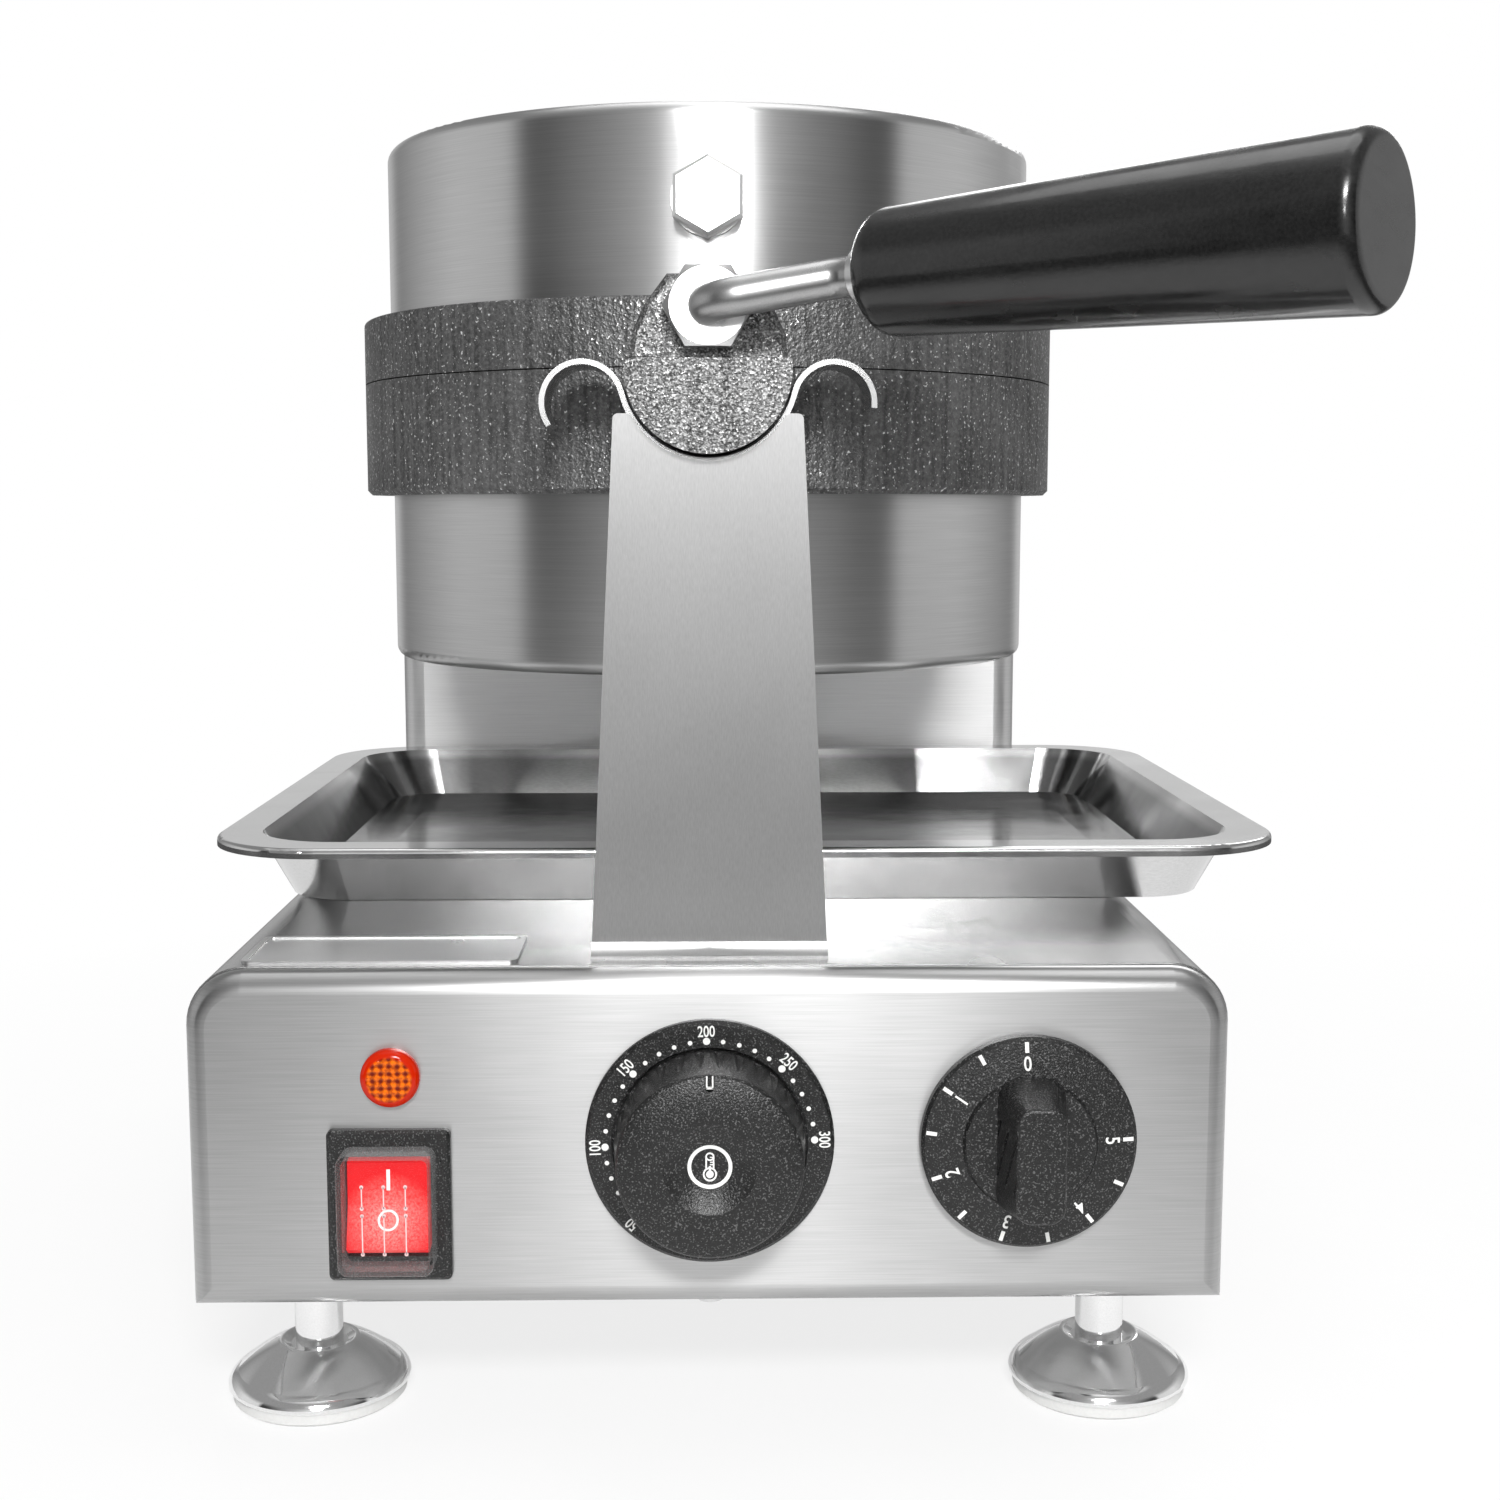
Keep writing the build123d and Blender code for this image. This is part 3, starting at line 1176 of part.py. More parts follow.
with BuildPart() as terminal_block:
    with BuildSketch(level(BASE_BOTTOM + SHEET)):
        with Locations(TERMINAL_SPOT):
            Rectangle(60, 20)
    extrude(amount=TERMINAL_HEIGHT)
    with BuildSketch(level(BASE_BOTTOM + SHEET + TERMINAL_HEIGHT)):
        with Locations(TERMINAL_SPOT):
            with GridLocations(11, 9, 5, 2):
                Circle(2.2)
    extrude(amount=-6, mode=Mode.SUBTRACT)
save(terminal_block, "terminal_block")

CABLE_R = 3.9
GLAND_OUT = 8.9
with BuildPart() as cable_gland:
    gland = turned_forward(GLAND_X, GLAND_Z, BACK_Y)
    with BuildSketch(gland):
        Polygon(
            (CABLE_R, 8.0),
            (9.6, 8.0),
            (9.6, 0),
            (GLAND_NECK_R, 0),
            (GLAND_NECK_R, -SHEET),
            (11.0, -SHEET),
            (11.0, -SHEET - 3.4),
            (8.6, -SHEET - 4.2),
            (6.6, -SHEET - GLAND_OUT),
            (CABLE_R, -SHEET - GLAND_OUT),
            align=None,
        )
    spin(gland)
save(cable_gland, "cable_gland")

# ---------------------------------------------------------------- feet

foot_names = ["front_left", "front_right", "rear_left", "rear_right"]
PAD = 3.2               # thickness of the pad under the bell
NECK_R = 9.6            # where the bell's slope meets the flare of the stem
NECK_Z = 13.4
SHOULDER_Z = BASE_BOTTOM - STEM_GAP
STUD_TOP = BASE_BOTTOM + STUD_LENGTH

for foot_name, (foot_x, foot_y) in zip(foot_names, foot_spots):
    with BuildPart() as foot:
        bell = turned_upright(foot_x, foot_y)
        with BuildSketch(bell):
            with BuildLine():
                Polyline((0, PAD), (FOOT_R - 0.6, PAD), (FOOT_R, PAD + 0.6), (FOOT_R, 4.6))
                ThreePointArc((FOOT_R, 4.6), (FOOT_R - 0.8, 6.0), (FOOT_R - 2.4, 7.2))
                ThreePointArc((FOOT_R - 2.4, 7.2), (14.4, 10.6), (NECK_R, NECK_Z))
                ThreePointArc((NECK_R, NECK_Z), (8.8, 13.7), (8.0, 13.4))
                Polyline((8.0, 13.4), (6.6, 12.6), (STEM_R, 12.6), (STEM_R, SHOULDER_Z))
                Polyline((STEM_R, SHOULDER_Z), (STUD_R, SHOULDER_Z), (STUD_R, STUD_TOP), (0, STUD_TOP))
                Line((0, STUD_TOP), (0, PAD))
            make_face()
        spin(bell)
    save(foot, f"foot_{foot_name}")

    with BuildPart() as foot_pad:
        pad = turned_upright(foot_x, foot_y)
        with BuildSketch(pad):
            Polygon(
                (0, 0),
                (FOOT_R - 2.2, 0),
                (FOOT_R - 1.0, 0.9),
                (FOOT_R - 0.9, PAD),
                (0, PAD),
                align=None,
            )
        spin(pad)
    save(foot_pad, f"foot_pad_{foot_name}")
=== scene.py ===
import json
from math import cos, pi, radians, sin

import bmesh
import bpy
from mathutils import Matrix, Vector


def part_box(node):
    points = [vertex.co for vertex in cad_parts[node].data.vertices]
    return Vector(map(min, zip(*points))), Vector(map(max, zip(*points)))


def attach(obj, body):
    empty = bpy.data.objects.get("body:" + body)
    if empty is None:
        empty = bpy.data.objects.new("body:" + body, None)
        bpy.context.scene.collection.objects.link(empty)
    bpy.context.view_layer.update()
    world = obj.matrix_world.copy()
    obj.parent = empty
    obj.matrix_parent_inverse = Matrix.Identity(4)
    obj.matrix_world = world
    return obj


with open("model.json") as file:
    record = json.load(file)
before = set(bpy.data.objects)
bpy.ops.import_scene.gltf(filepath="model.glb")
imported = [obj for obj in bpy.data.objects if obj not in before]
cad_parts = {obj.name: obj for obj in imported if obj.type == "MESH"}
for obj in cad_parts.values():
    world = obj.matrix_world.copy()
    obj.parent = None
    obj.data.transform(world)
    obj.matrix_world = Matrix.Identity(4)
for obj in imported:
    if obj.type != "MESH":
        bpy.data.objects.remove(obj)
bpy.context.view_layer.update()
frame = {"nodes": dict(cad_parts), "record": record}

# A rotary waffle maker in a plain studio. Metres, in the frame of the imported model:
# X to the right, Y to the back, Z up, the counter at zero.

scene = bpy.context.scene
MM = 0.001


def centre(node):
    """Middle of a node's box."""
    low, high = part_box(node)
    return (Vector(low) + Vector(high)) / 2


# ---------------------------------------------------------------- camera and lights

CAMERA_SPOT = (-0.0092, -0.5594, 0.2095)
CAMERA_TILT = 83.092    # degrees up from straight down
CAMERA_TURN = -1.114    # degrees to the left of straight back
CAMERA_LENS = 48.14     # mm, on a sensor 36 mm wide

camera_data = bpy.data.cameras.new("camera")
camera_data.lens = CAMERA_LENS
camera_data.sensor_width = 36.0
camera_data.clip_start = 0.01
camera = bpy.data.objects.new("camera", camera_data)
camera.location = CAMERA_SPOT
camera.rotation_euler = (radians(CAMERA_TILT), 0.0, radians(CAMERA_TURN))
scene.collection.objects.link(camera)
scene.camera = camera
scene.view_settings.view_transform = "Standard"

LIGHTS = {
    # name: (spot, height of the light, watts)
    "key_light": ((0.03, -1.0, 0.68), 0.15, 10.5),
    "panel_light": ((-0.01, -1.05, 0.4), 0.08, 1.0),
    "top_light": ((0.1, 0.1, 1.5), 0.7, 4.0),
    "back_light": ((0.5, 1.4, 1.0), 0.6, 7.0),
}


def soft_light(name, spot, target, size, watts):
    """Area light, twice as wide as high, that looks at a point."""
    data = bpy.data.lights.new(name, "AREA")
    data.shape = "RECTANGLE"
    data.size = 2 * size
    data.size_y = size
    data.energy = watts
    light = bpy.data.objects.new(name, data)
    light.location = spot
    light.rotation_euler = (Vector(target) - Vector(spot)).to_track_quat("-Z", "Y").to_euler()
    scene.collection.objects.link(light)


HEAD = centre("upper_plate")
for name, (spot, size, watts) in LIGHTS.items():
    soft_light(name, spot, HEAD, size, watts)

# ---------------------------------------------------------------- shorthand for nodes


def link_value(tree, socket, value):
    """Set a socket to a number, a vector or another node's output."""
    if isinstance(value, bpy.types.NodeSocket):
        tree.links.new(value, socket)
    elif isinstance(value, tuple) and len(value) == 3 and len(socket.default_value) == 4:
        socket.default_value = (*value, 1.0)
    else:
        socket.default_value = value


class Nodes:
    """Shorthand for building a node tree."""

    def __init__(self, tree):
        self.tree = tree

    def add(self, kind, inputs=(), output=0, **settings):
        """Make a node, fill its inputs and return one of its outputs."""
        node = self.tree.nodes.new("ShaderNode" + kind)
        for key, value in settings.items():
            setattr(node, key, value)
        for key, value in dict(inputs).items():
            link_value(self.tree, node.inputs[key], value)
        return node.outputs[output]

    def math(self, operation, a, b=0.0):
        return self.add("Math", {0: a, 1: b}, operation=operation)

    def total(self, first, *others):
        """Sum of several values."""
        for value in others:
            first = self.math("ADD", first, value)
        return first

    def span(self, value, low, high, to_low=0.0, to_high=1.0):
        """Map a value from one range to another, clamped."""
        source = {"Value": value, "From Min": low, "From Max": high}
        return self.add("MapRange", {**source, "To Min": to_low, "To Max": to_high})

    def vary(self, noise, low, high, reach=0.2):
        """Turn a noise, which keeps near a half, into values from low to high."""
        return self.span(noise, 0.5 - reach, 0.5 + reach, low, high)

    def split(self, vector):
        """The three parts of a vector."""
        node = self.tree.nodes.new("ShaderNodeSeparateXYZ")
        link_value(self.tree, node.inputs[0], vector)
        return tuple(node.outputs)

    def mix(self, factor, a, b):
        """Blend two colours."""
        node = self.tree.nodes.new("ShaderNodeMix")
        node.data_type = "RGBA"
        link_value(self.tree, node.inputs["Factor"], factor)
        link_value(self.tree, node.inputs[6], a)
        link_value(self.tree, node.inputs[7], b)
        return node.outputs[2]

    def ramp(self, value, stops):
        """Grey level along a value, from (position, grey) stops."""
        node = self.tree.nodes.new("ShaderNodeValToRGB")
        elements = node.color_ramp.elements
        while len(elements) < len(stops):
            elements.new(0.5)
        for element, (position, grey) in zip(elements, stops):
            element.position = position
            element.color = (grey, grey, grey, 1.0)
        link_value(self.tree, node.inputs[0], value)
        return node.outputs[0]


class Surface(Nodes):
    """A Principled material whose nodes read the piece's own space, in metres."""

    def __init__(self, name, **sockets):
        self.material = bpy.data.materials.new(name)
        self.material.use_nodes = True
        super().__init__(self.material.node_tree)
        self.shader = self.tree.nodes["Principled BSDF"]
        self.place = self.add("TexCoord", output="Object")
        for socket, value in sockets.items():
            self.put(socket.replace("_", " "), value)

    def put(self, socket, value):
        """Set one of the shader's own sockets."""
        link_value(self.tree, self.shader.inputs[socket], value)

    def noise(self, size, stretch=(1.0, 1.0, 1.0), detail=2.0, rough=0.5, seed=0.0):
        """Noise with features of a size in metres, longer along an axis where stretch is small."""
        scale = tuple(factor / size for factor in stretch)
        spread = self.add("VectorMath", {0: self.place, 1: scale}, operation="MULTIPLY")
        moved = self.add("VectorMath", {0: spread, 1: (seed, seed, seed)}, operation="ADD")
        inputs = {"Vector": moved, "Scale": 1.0, "Detail": detail, "Roughness": rough}
        return self.add("TexNoise", inputs, output="Fac")

    def away(self, point):
        """Distance from a point."""
        inputs = {0: self.place, 1: tuple(point)}
        return self.add("VectorMath", inputs, output="Value", operation="DISTANCE")

    def bump(self, *layers):
        """Stack heights, each (value, depth in metres)."""
        normal = None
        for height, depth in layers:
            inputs = {"Height": height, "Distance": depth, "Strength": 1.0}
            if normal:
                inputs["Normal"] = normal
            normal = self.add("Bump", inputs)
        self.put("Normal", normal)


# ---------------------------------------------------------------- surroundings

WHITE = (1.0, 1.0, 1.0)
# Grey of the walls, by how far round they are: 0 is behind the camera, 1 is behind the object.
WALLS = [
    (0.0, 0.8), (0.06, 0.72), (0.12, 0.5), (0.2, 0.28), (0.3, 0.09), (0.335, 0.05), (0.37, 0.05),
    (0.395, 0.72), (0.55, 0.75), (0.72, 0.4), (0.8, 0.25), (0.86, 0.6), (1.0, 0.7),
]
# By height, from 0 at the horizon to 1 overhead: where the ceiling takes over, and its grey.
CEILING_PART = [(0.3, 0.0), (0.5, 1.0), (1.0, 1.0)]
CEILING = [(0.5, 0.3), (0.8, 0.3), (0.9, 0.75), (1.0, 0.8)]

FLOOR_R = 1.1
FLOOR_GRAIN = 1 / 30
FLOOR_DARK = (0.86, 0.86, 0.86)
FLOOR_LIGHT = (0.9, 0.9, 0.9)
GLOW_FADE = (0.35, 0.6)         # where the floor grows dark in reflections, from the middle
SHADOW_FADE = (0.15, 0.5)       # where the shadows on the floor fade out


def build_world():
    """Studio: a light panel behind the camera, dark gaps, light walls at the sides.

    The camera itself sees only white.
    """
    world = bpy.data.worlds.new("studio")
    scene.world = world
    world.use_nodes = True
    nodes = Nodes(world.node_tree)
    side, depth, height = nodes.split(nodes.add("TexCoord", output="Generated"))
    turn = nodes.math("ARCTAN2", side, nodes.math("MULTIPLY", depth, -1.0))
    turn = nodes.math("ABSOLUTE", nodes.math("DIVIDE", turn, pi))
    walls = nodes.ramp(turn, WALLS)
    light = nodes.mix(nodes.ramp(height, CEILING_PART), walls, nodes.ramp(height, CEILING))
    seen = nodes.add("LightPath", output="Is Camera Ray")
    background = world.node_tree.nodes["Background"]
    link_value(world.node_tree, background.inputs["Color"], nodes.mix(seen, light, WHITE))
    background.inputs["Strength"].default_value = 1.0


def build_floor():
    """Round pale floor that fades into the white surroundings."""
    mesh = bpy.data.meshes.new("floor")
    shape = bmesh.new()
    bmesh.ops.create_circle(shape, cap_ends=True, radius=FLOOR_R, segments=96)
    shape.to_mesh(mesh)
    shape.free()
    floor = bpy.data.objects.new("floor", mesh)
    scene.collection.objects.link(floor)
    paint = Surface("floor_paint", Roughness=0.7, Specular_IOR_Level=0.2)
    paint.put("Base Color", paint.mix(paint.noise(FLOOR_GRAIN), FLOOR_DARK, FLOOR_LIGHT))
    reach = paint.add("VectorMath", {0: paint.place}, output="Value", operation="LENGTH")
    seen = paint.add("LightPath", output="Is Camera Ray")
    reflected = paint.span(reach, *GLOW_FADE, 1.0, 0.1)
    glow = paint.add("Emission", {"Strength": paint.math("MAXIMUM", seen, reflected)})
    bounced_part = paint.span(reach, *SHADOW_FADE, 0.4, 1.0)
    seen_part = paint.span(reach, *SHADOW_FADE, 0.78, 1.0)
    glow_part = paint.span(seen, 0.0, 1.0, bounced_part, seen_part)
    blend = paint.add("MixShader", {0: glow_part, 1: paint.shader.outputs[0], 2: glow})
    link_value(paint.tree, paint.tree.nodes["Material Output"].inputs[0], blend)
    mesh.materials.append(paint.material)


build_world()
build_floor()

# ---------------------------------------------------------------- materials

BRUSH_LINE = 0.00026        # spacing of brush lines
HAIRLINE = 0.0003           # spacing of fine scratches
WAVE = 0.014                # length of the faint waves in sheet steel
WAVE_DEPTH = 0.00003
PLASTIC_GRAIN = 0.00045     # spacing of the texture of moulded plastic
LENS_PITCH = 0.0036         # of the diamonds in the pilot lamp
LENS_EDGE = (0.0046, 0.0052)    # where the diamonds end, from the middle
LAMP_REACH = (0.001, 0.0105)    # over which the lamp behind the rocker fades
LAMP_DROP = 0.0025              # of that lamp, below the rocker's middle
RIM_FADE = (0.0015, 0.0035)     # below the tray's top, where the painted shade in its hollow begins
MACHINED_FADE = (0.0004, 0.0012)    # behind a machined front, where the rough casting begins


def brushed_steel(name, stretch, tone, roughness=0.34, across_lines=0.0, spread=0.85):
    """Brushed stainless sheet. stretch is small along the brush lines."""
    steel = Surface(name, Metallic=1.0, Anisotropic=spread, Anisotropic_Rotation=across_lines)
    lines = steel.noise(BRUSH_LINE, stretch, detail=1.0, rough=0.6)
    streaks = steel.noise(4 * BRUSH_LINE, stretch, detail=0.0, seed=7.0)
    cloud = steel.noise(0.05, seed=3.0)
    grey = steel.total(
        steel.vary(lines, -0.03, 0.03),
        steel.vary(streaks, -0.004, 0.004, reach=0.15),
        steel.vary(cloud, tone - 0.012, tone + 0.012),
    )
    steel.put("Base Color", grey)
    steel.put("Roughness", steel.vary(cloud, roughness - 0.02, roughness + 0.02))
    steel.bump((lines, 0.0000004))
    steel.put("Tangent", steel.add("Tangent", direction_type="RADIAL", axis="Z"))
    return steel.material


def polished_steel(name, tone, roughness, relief=0.000002):
    """Bright steel with faint rolling waves and hairline scratches."""
    steel = Surface(name, Metallic=1.0)
    hairs = steel.noise(HAIRLINE, detail=3.0, rough=0.65, seed=5.0)
    smears = steel.noise(0.02, detail=3.0, seed=9.0)
    steel.put("Base Color", steel.vary(hairs, tone - 0.05, tone + 0.05, reach=0.25))
    steel.put("Roughness", steel.vary(smears, roughness - 0.04, roughness + 0.06))
    steel.bump((steel.noise(WAVE, detail=1.0), WAVE_DEPTH), (hairs, relief))
    return steel.material


def shaded_tray(name):
    """Bright pressed tray whose hollow floor is darkened with painted shade, for the shaded head
    it reflects.
    """
    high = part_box("tray")[1]
    tray = Surface(name, Metallic=1.0)
    below = tray.math("SUBTRACT", high[2], tray.split(tray.place)[2])
    upward = tray.split(tray.add("TexCoord", output="Normal"))[2]
    under_rim = tray.span(below, *RIM_FADE)
    hollow = tray.math("MULTIPLY", under_rim, tray.span(upward, 0.05, 0.15))
    smears = tray.noise(0.03, (1.0, 1.6, 1.0), detail=4.0, rough=0.6, seed=9.0)
    hairs = tray.noise(HAIRLINE, (0.2, 1.0, 1.0), seed=5.0)
    # painted shade: upward faces below the rim are darkened, standing in for the dark reflection
    # of the head above
    shade = tray.math("MULTIPLY", hollow, tray.vary(smears, 0.26, 0.36))
    unshaded = tray.vary(hairs, 0.61, 0.69, reach=0.25)
    tray.put("Base Color", tray.math("SUBTRACT", unshaded, shade))
    tray.put("Roughness", tray.vary(smears, 0.09, 0.2))
    tray.bump((tray.noise(WAVE, detail=1.0), WAVE_DEPTH), (hairs, 0.000001))
    return tray.material


def cast_metal(name, machined_front=None):
    """Dark sand-cast aluminium: bright specks, a pitted skin and faint upright streaks.

    It is bright and open-grained where it reaches a machined front, given by its depth.
    """
    cast = Surface(name, Metallic=0.85)
    pits = cast.noise(0.0011, detail=3.0, rough=0.7)
    specks = cast.noise(0.00075, detail=1.0, seed=11.0)
    streaks = cast.noise(0.0016, (1.0, 1.0, 0.03), seed=4.0)
    cloud = cast.noise(0.03, seed=6.0)
    dark = cast.total(cast.vary(streaks, -0.025, 0.04, reach=0.15), cast.vary(cloud, 0.1, 0.16))
    flecks = cast.span(specks, 0.66, 0.75, 0.0, 0.8)
    grey = cast.total(dark, cast.total(flecks, cast.span(pits, 0.45, 0.6, -0.02, 0.05)))
    if machined_front is not None:
        behind = cast.math("SUBTRACT", cast.split(cast.place)[1], machined_front)
        machined = cast.span(behind, *MACHINED_FADE, 1.0, 0.0)
        facets = cast.noise(0.00048, detail=1.0, seed=13.0)
        shine = cast.math("MULTIPLY", machined, cast.span(facets, 0.46, 0.66, -0.04, 0.2))
        grey = cast.total(grey, shine)
    cast.put("Base Color", cast.math("MAXIMUM", grey, 0.02))
    cast.put("Roughness", cast.span(specks, 0.55, 0.7, 0.5, 0.3))
    cast.bump((streaks, 0.00008), (pits, 0.00022), (specks, 0.0003))
    return cast.material


def turned_bronze(name):
    """Bronze with faint turning rings."""
    bronze = Surface(name, Metallic=1.0)
    rings = bronze.noise(0.0006, (0.05, 1.0, 0.05), detail=3.0)
    bronze.put("Base Color", bronze.mix(rings, (0.42, 0.26, 0.1), (0.6, 0.4, 0.17)))
    bronze.put("Roughness", bronze.vary(rings, 0.25, 0.4))
    bronze.bump((rings, 0.00001))
    return bronze.material


def moulded_plastic(name, tone, roughness):
    """Black moulded plastic whose fine texture catches the light in specks, with painted glints as
    pale specks in its colour.
    """
    plastic = Surface(name, Specular_IOR_Level=0.5)
    skin = plastic.noise(PLASTIC_GRAIN, rough=0.6)
    glint_specks = plastic.noise(PLASTIC_GRAIN * 0.9, detail=1.0, seed=8.0)
    black = plastic.vary(skin, tone * 0.7, tone * 1.3)
    # painted glints: pale specks in the colour stand in for the specks of light that the texture
    # catches
    plastic.put("Base Color", plastic.total(black, plastic.span(glint_specks, 0.58, 0.7, 0.0, 0.11)))
    plastic.put("Roughness", plastic.vary(skin, roughness - 0.06, roughness + 0.08))
    plastic.bump((skin, 0.00016))
    return plastic.material


def glossy_grip(name):
    """Glossy black thermoset with faint flow lines along the handle."""
    low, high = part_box("grip")
    along = Vector((high[0] - low[0], low[1] - high[1], 0.0)).normalized()
    grip = Surface(name, Coat_Weight=0.3, Coat_Roughness=0.1)
    stretch = tuple(1.0 - 0.97 * abs(part) for part in along)
    flow = grip.noise(0.004, stretch, detail=3.0)
    skin = grip.noise(0.0007, seed=2.0)
    grip.put("Base Color", grip.vary(skin, 0.004, 0.01))
    grip.put("Roughness", grip.vary(flow, 0.16, 0.3))
    grip.bump((flow, 0.0001), (skin, 0.000006))
    return grip.material


def lit_rocker(name):
    """Red translucent plastic with the lamp on behind it."""
    heart = centre("rocker")
    rocker = Surface(name, Roughness=0.35, Specular_IOR_Level=0.2)
    lamp = (heart.x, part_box("rocker")[0][1], heart.z - LAMP_DROP)
    sparkle = rocker.noise(0.0005, rough=0.7)
    near = rocker.span(rocker.away(lamp), *LAMP_REACH, 1.0, 0.0)
    glow = rocker.math("MULTIPLY", near, rocker.vary(sparkle, 0.35, 1.4, reach=0.15))
    rocker.put("Base Color", rocker.mix(glow, (0.35, 0.001, 0.002), (0.6, 0.03, 0.03)))
    rocker.put("Emission Color", rocker.mix(glow, (0.75, 0.0, 0.006), (1.0, 0.42, 0.38)))
    rocker.put("Emission Strength", 0.7)
    rocker.bump((sparkle, 0.00008))
    return rocker.material


def amber_lens(name):
    """Amber lens with a diamond pattern moulded inside it and a plain red-orange edge."""
    hub = centre("lamp_lens")
    lens = Surface(name, Roughness=0.1, Specular_IOR_Level=0.25)
    across, _, up = lens.split(lens.place)
    slopes = []
    for lean in (1.1, -1.1):
        tilted = lens.total(lens.math("MULTIPLY", up, lean), across)
        slopes.append(lens.math("SINE", lens.math("MULTIPLY", tilted, 2 * pi / LENS_PITCH)))
    facets = lens.math("MULTIPLY", *slopes)
    inner = lens.span(lens.away((hub.x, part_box("lamp_lens")[0][1], hub.z)), *LENS_EDGE, 1.0, 0.0)
    sparkle = lens.span(lens.noise(0.0009, seed=1.0), 0.35, 0.6, 0.4, 1.2)
    level = lens.math("MULTIPLY", lens.span(facets, -0.7, 0.7), sparkle)
    pattern = lens.mix(level, (0.12, 0.006, 0.0), (0.8, 0.14, 0.001))
    colour = lens.mix(inner, (0.42, 0.012, 0.0), pattern)
    lens.put("Base Color", colour)
    lens.put("Emission Color", colour)
    lens.put("Emission Strength", 0.25)
    lens.bump((lens.math("MULTIPLY", facets, inner), 0.00012))
    return lens.material


def clear_cover(name):
    """Thin clear plastic that shows at its edges."""
    cover = Surface(name, Roughness=0.05)
    rim = cover.add("LayerWeight", {"Blend": 0.35}, output="Facing")
    ripple = cover.noise(0.002)
    cover.put("Base Color", cover.mix(ripple, (0.3, 0.3, 0.3), (0.5, 0.5, 0.5)))
    cover.put("Alpha", cover.span(rim, 0.15, 0.8, 0.02, 0.55))
    cover.bump((ripple, 0.00004))
    return cover.material


def fibre_board(name):
    """Off-white ceramic fibre."""
    board = Surface(name)
    fluff = board.noise(0.0015, detail=4.0, rough=0.7)
    board.put("Base Color", board.mix(fluff, (0.62, 0.6, 0.55), (0.86, 0.85, 0.8)))
    board.put("Roughness", board.vary(fluff, 0.85, 1.0))
    board.bump((fluff, 0.0004))
    return board.material


def painted(name, colour, roughness=0.4):
    """Plain moulded or printed colour with a slight mottle."""
    paint = Surface(name)
    mottle = paint.noise(0.0008)
    dimmer = tuple(part * 0.86 for part in colour)
    paint.put("Base Color", paint.mix(mottle, dimmer, colour))
    paint.put("Roughness", paint.vary(mottle, roughness - 0.05, roughness + 0.1))
    paint.bump((mottle, 0.00001))
    return paint.material


AROUND = (0.012, 0.012, 1.0)        # brush lines that run level
LENGTHWISE = (1.0, 0.012, 1.0)      # brush lines that run front to back
UPRIGHT = (1.0, 1.0, 0.15)          # short upright lines
LEVEL = 0.25                        # quarter turn that lays the sheen along level lines

drum_steel = brushed_steel("brushed_drum", AROUND, 0.62, 0.3, LEVEL)
post_steel = brushed_steel("brushed_post", UPRIGHT, 0.52, 0.42, spread=0.6)

SLOT_LOOKS = {
    "brushed_steel": brushed_steel("brushed_level", AROUND, 0.46, across_lines=LEVEL),
    "bright_steel": polished_steel("bright_steel", 0.75, 0.3),
    "cast_aluminium": cast_metal("cast_aluminium"),
    "machined_steel": polished_steel("turned_steel", 0.45, 0.28, relief=0.00002),
    "bronze": turned_bronze("bronze"),
    "insulation": fibre_board("insulation"),
    "black_plastic": moulded_plastic("black_plastic", 0.005, 0.33),
    "bakelite": glossy_grip("bakelite"),
    "cream_plastic": painted("cream_plastic", (0.8, 0.76, 0.66)),
    "red_plastic": lit_rocker("red_plastic"),
    "amber_plastic": amber_lens("amber_plastic"),
    "clear_plastic": clear_cover("clear_plastic"),
    "chrome": polished_steel("foot_chrome", 0.9, 0.08, relief=0.0),
    "pad_plastic": painted("pad_plastic", (0.72, 0.72, 0.71), 0.5),
}
NODE_LOOKS = {
    "lower_plate": cast_metal("cast_lower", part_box("lower_plate")[0][1]),
    "upper_plate": cast_metal("cast_upper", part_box("upper_plate")[0][1]),
    # painted light: the column's steel gets a much lighter tone than the other brushed steel,
    # standing in for the bright light it reflects
    "column_shell": brushed_steel("brushed_column", AROUND, 0.8, 0.5, LEVEL),
    "handle_rod": polished_steel("rod_steel", 0.42, 0.3),
    "base_shell": brushed_steel("brushed_shell", LENGTHWISE, 0.37, 0.26, spread=0.0),
    "upper_drum": drum_steel,
    "lower_drum": drum_steel,
    "post": post_steel,
    "post_bracket": post_steel,
    # painted shade: the strip gets a dark tone for polished steel, standing in for the shade it
    # sits in under the trunnion
    "cradle": polished_steel("strip_steel", 0.42, 0.24),
    "tray": shaded_tray("tray_steel"),
}
for subpart in frame["record"]["subparts"]:
    look = NODE_LOOKS.get(subpart["node"], SLOT_LOOKS[subpart["material_slot"]])
    for slot in frame["nodes"][subpart["node"]].material_slots:
        slot.material = look

# ---------------------------------------------------------------- printed marks

PRINT = 0.06 * MM       # how far a print stands off its face, and sinks into it
STROKE_SWELL = 0.012    # thickens the strokes of characters, as part of their size
FORWARD = Vector((0.0, -1.0, 0.0))
white_print = painted("white_print", (0.9, 0.9, 0.88), 0.45)


def around(radius, steps):
    """Points round a circle, counter-clockwise."""
    turns = [2 * pi * step / steps for step in range(steps)]
    return [(radius * cos(turn), radius * sin(turn)) for turn in turns]


def clock(radius, angle):
    """Point on a circle at degrees clockwise from the top."""
    return radius * sin(radians(angle)), radius * cos(radians(angle))


def extent(values):
    """Middle and length of the range that some values cover."""
    low, high = min(values), max(values)
    return (low + high) / 2, high - low


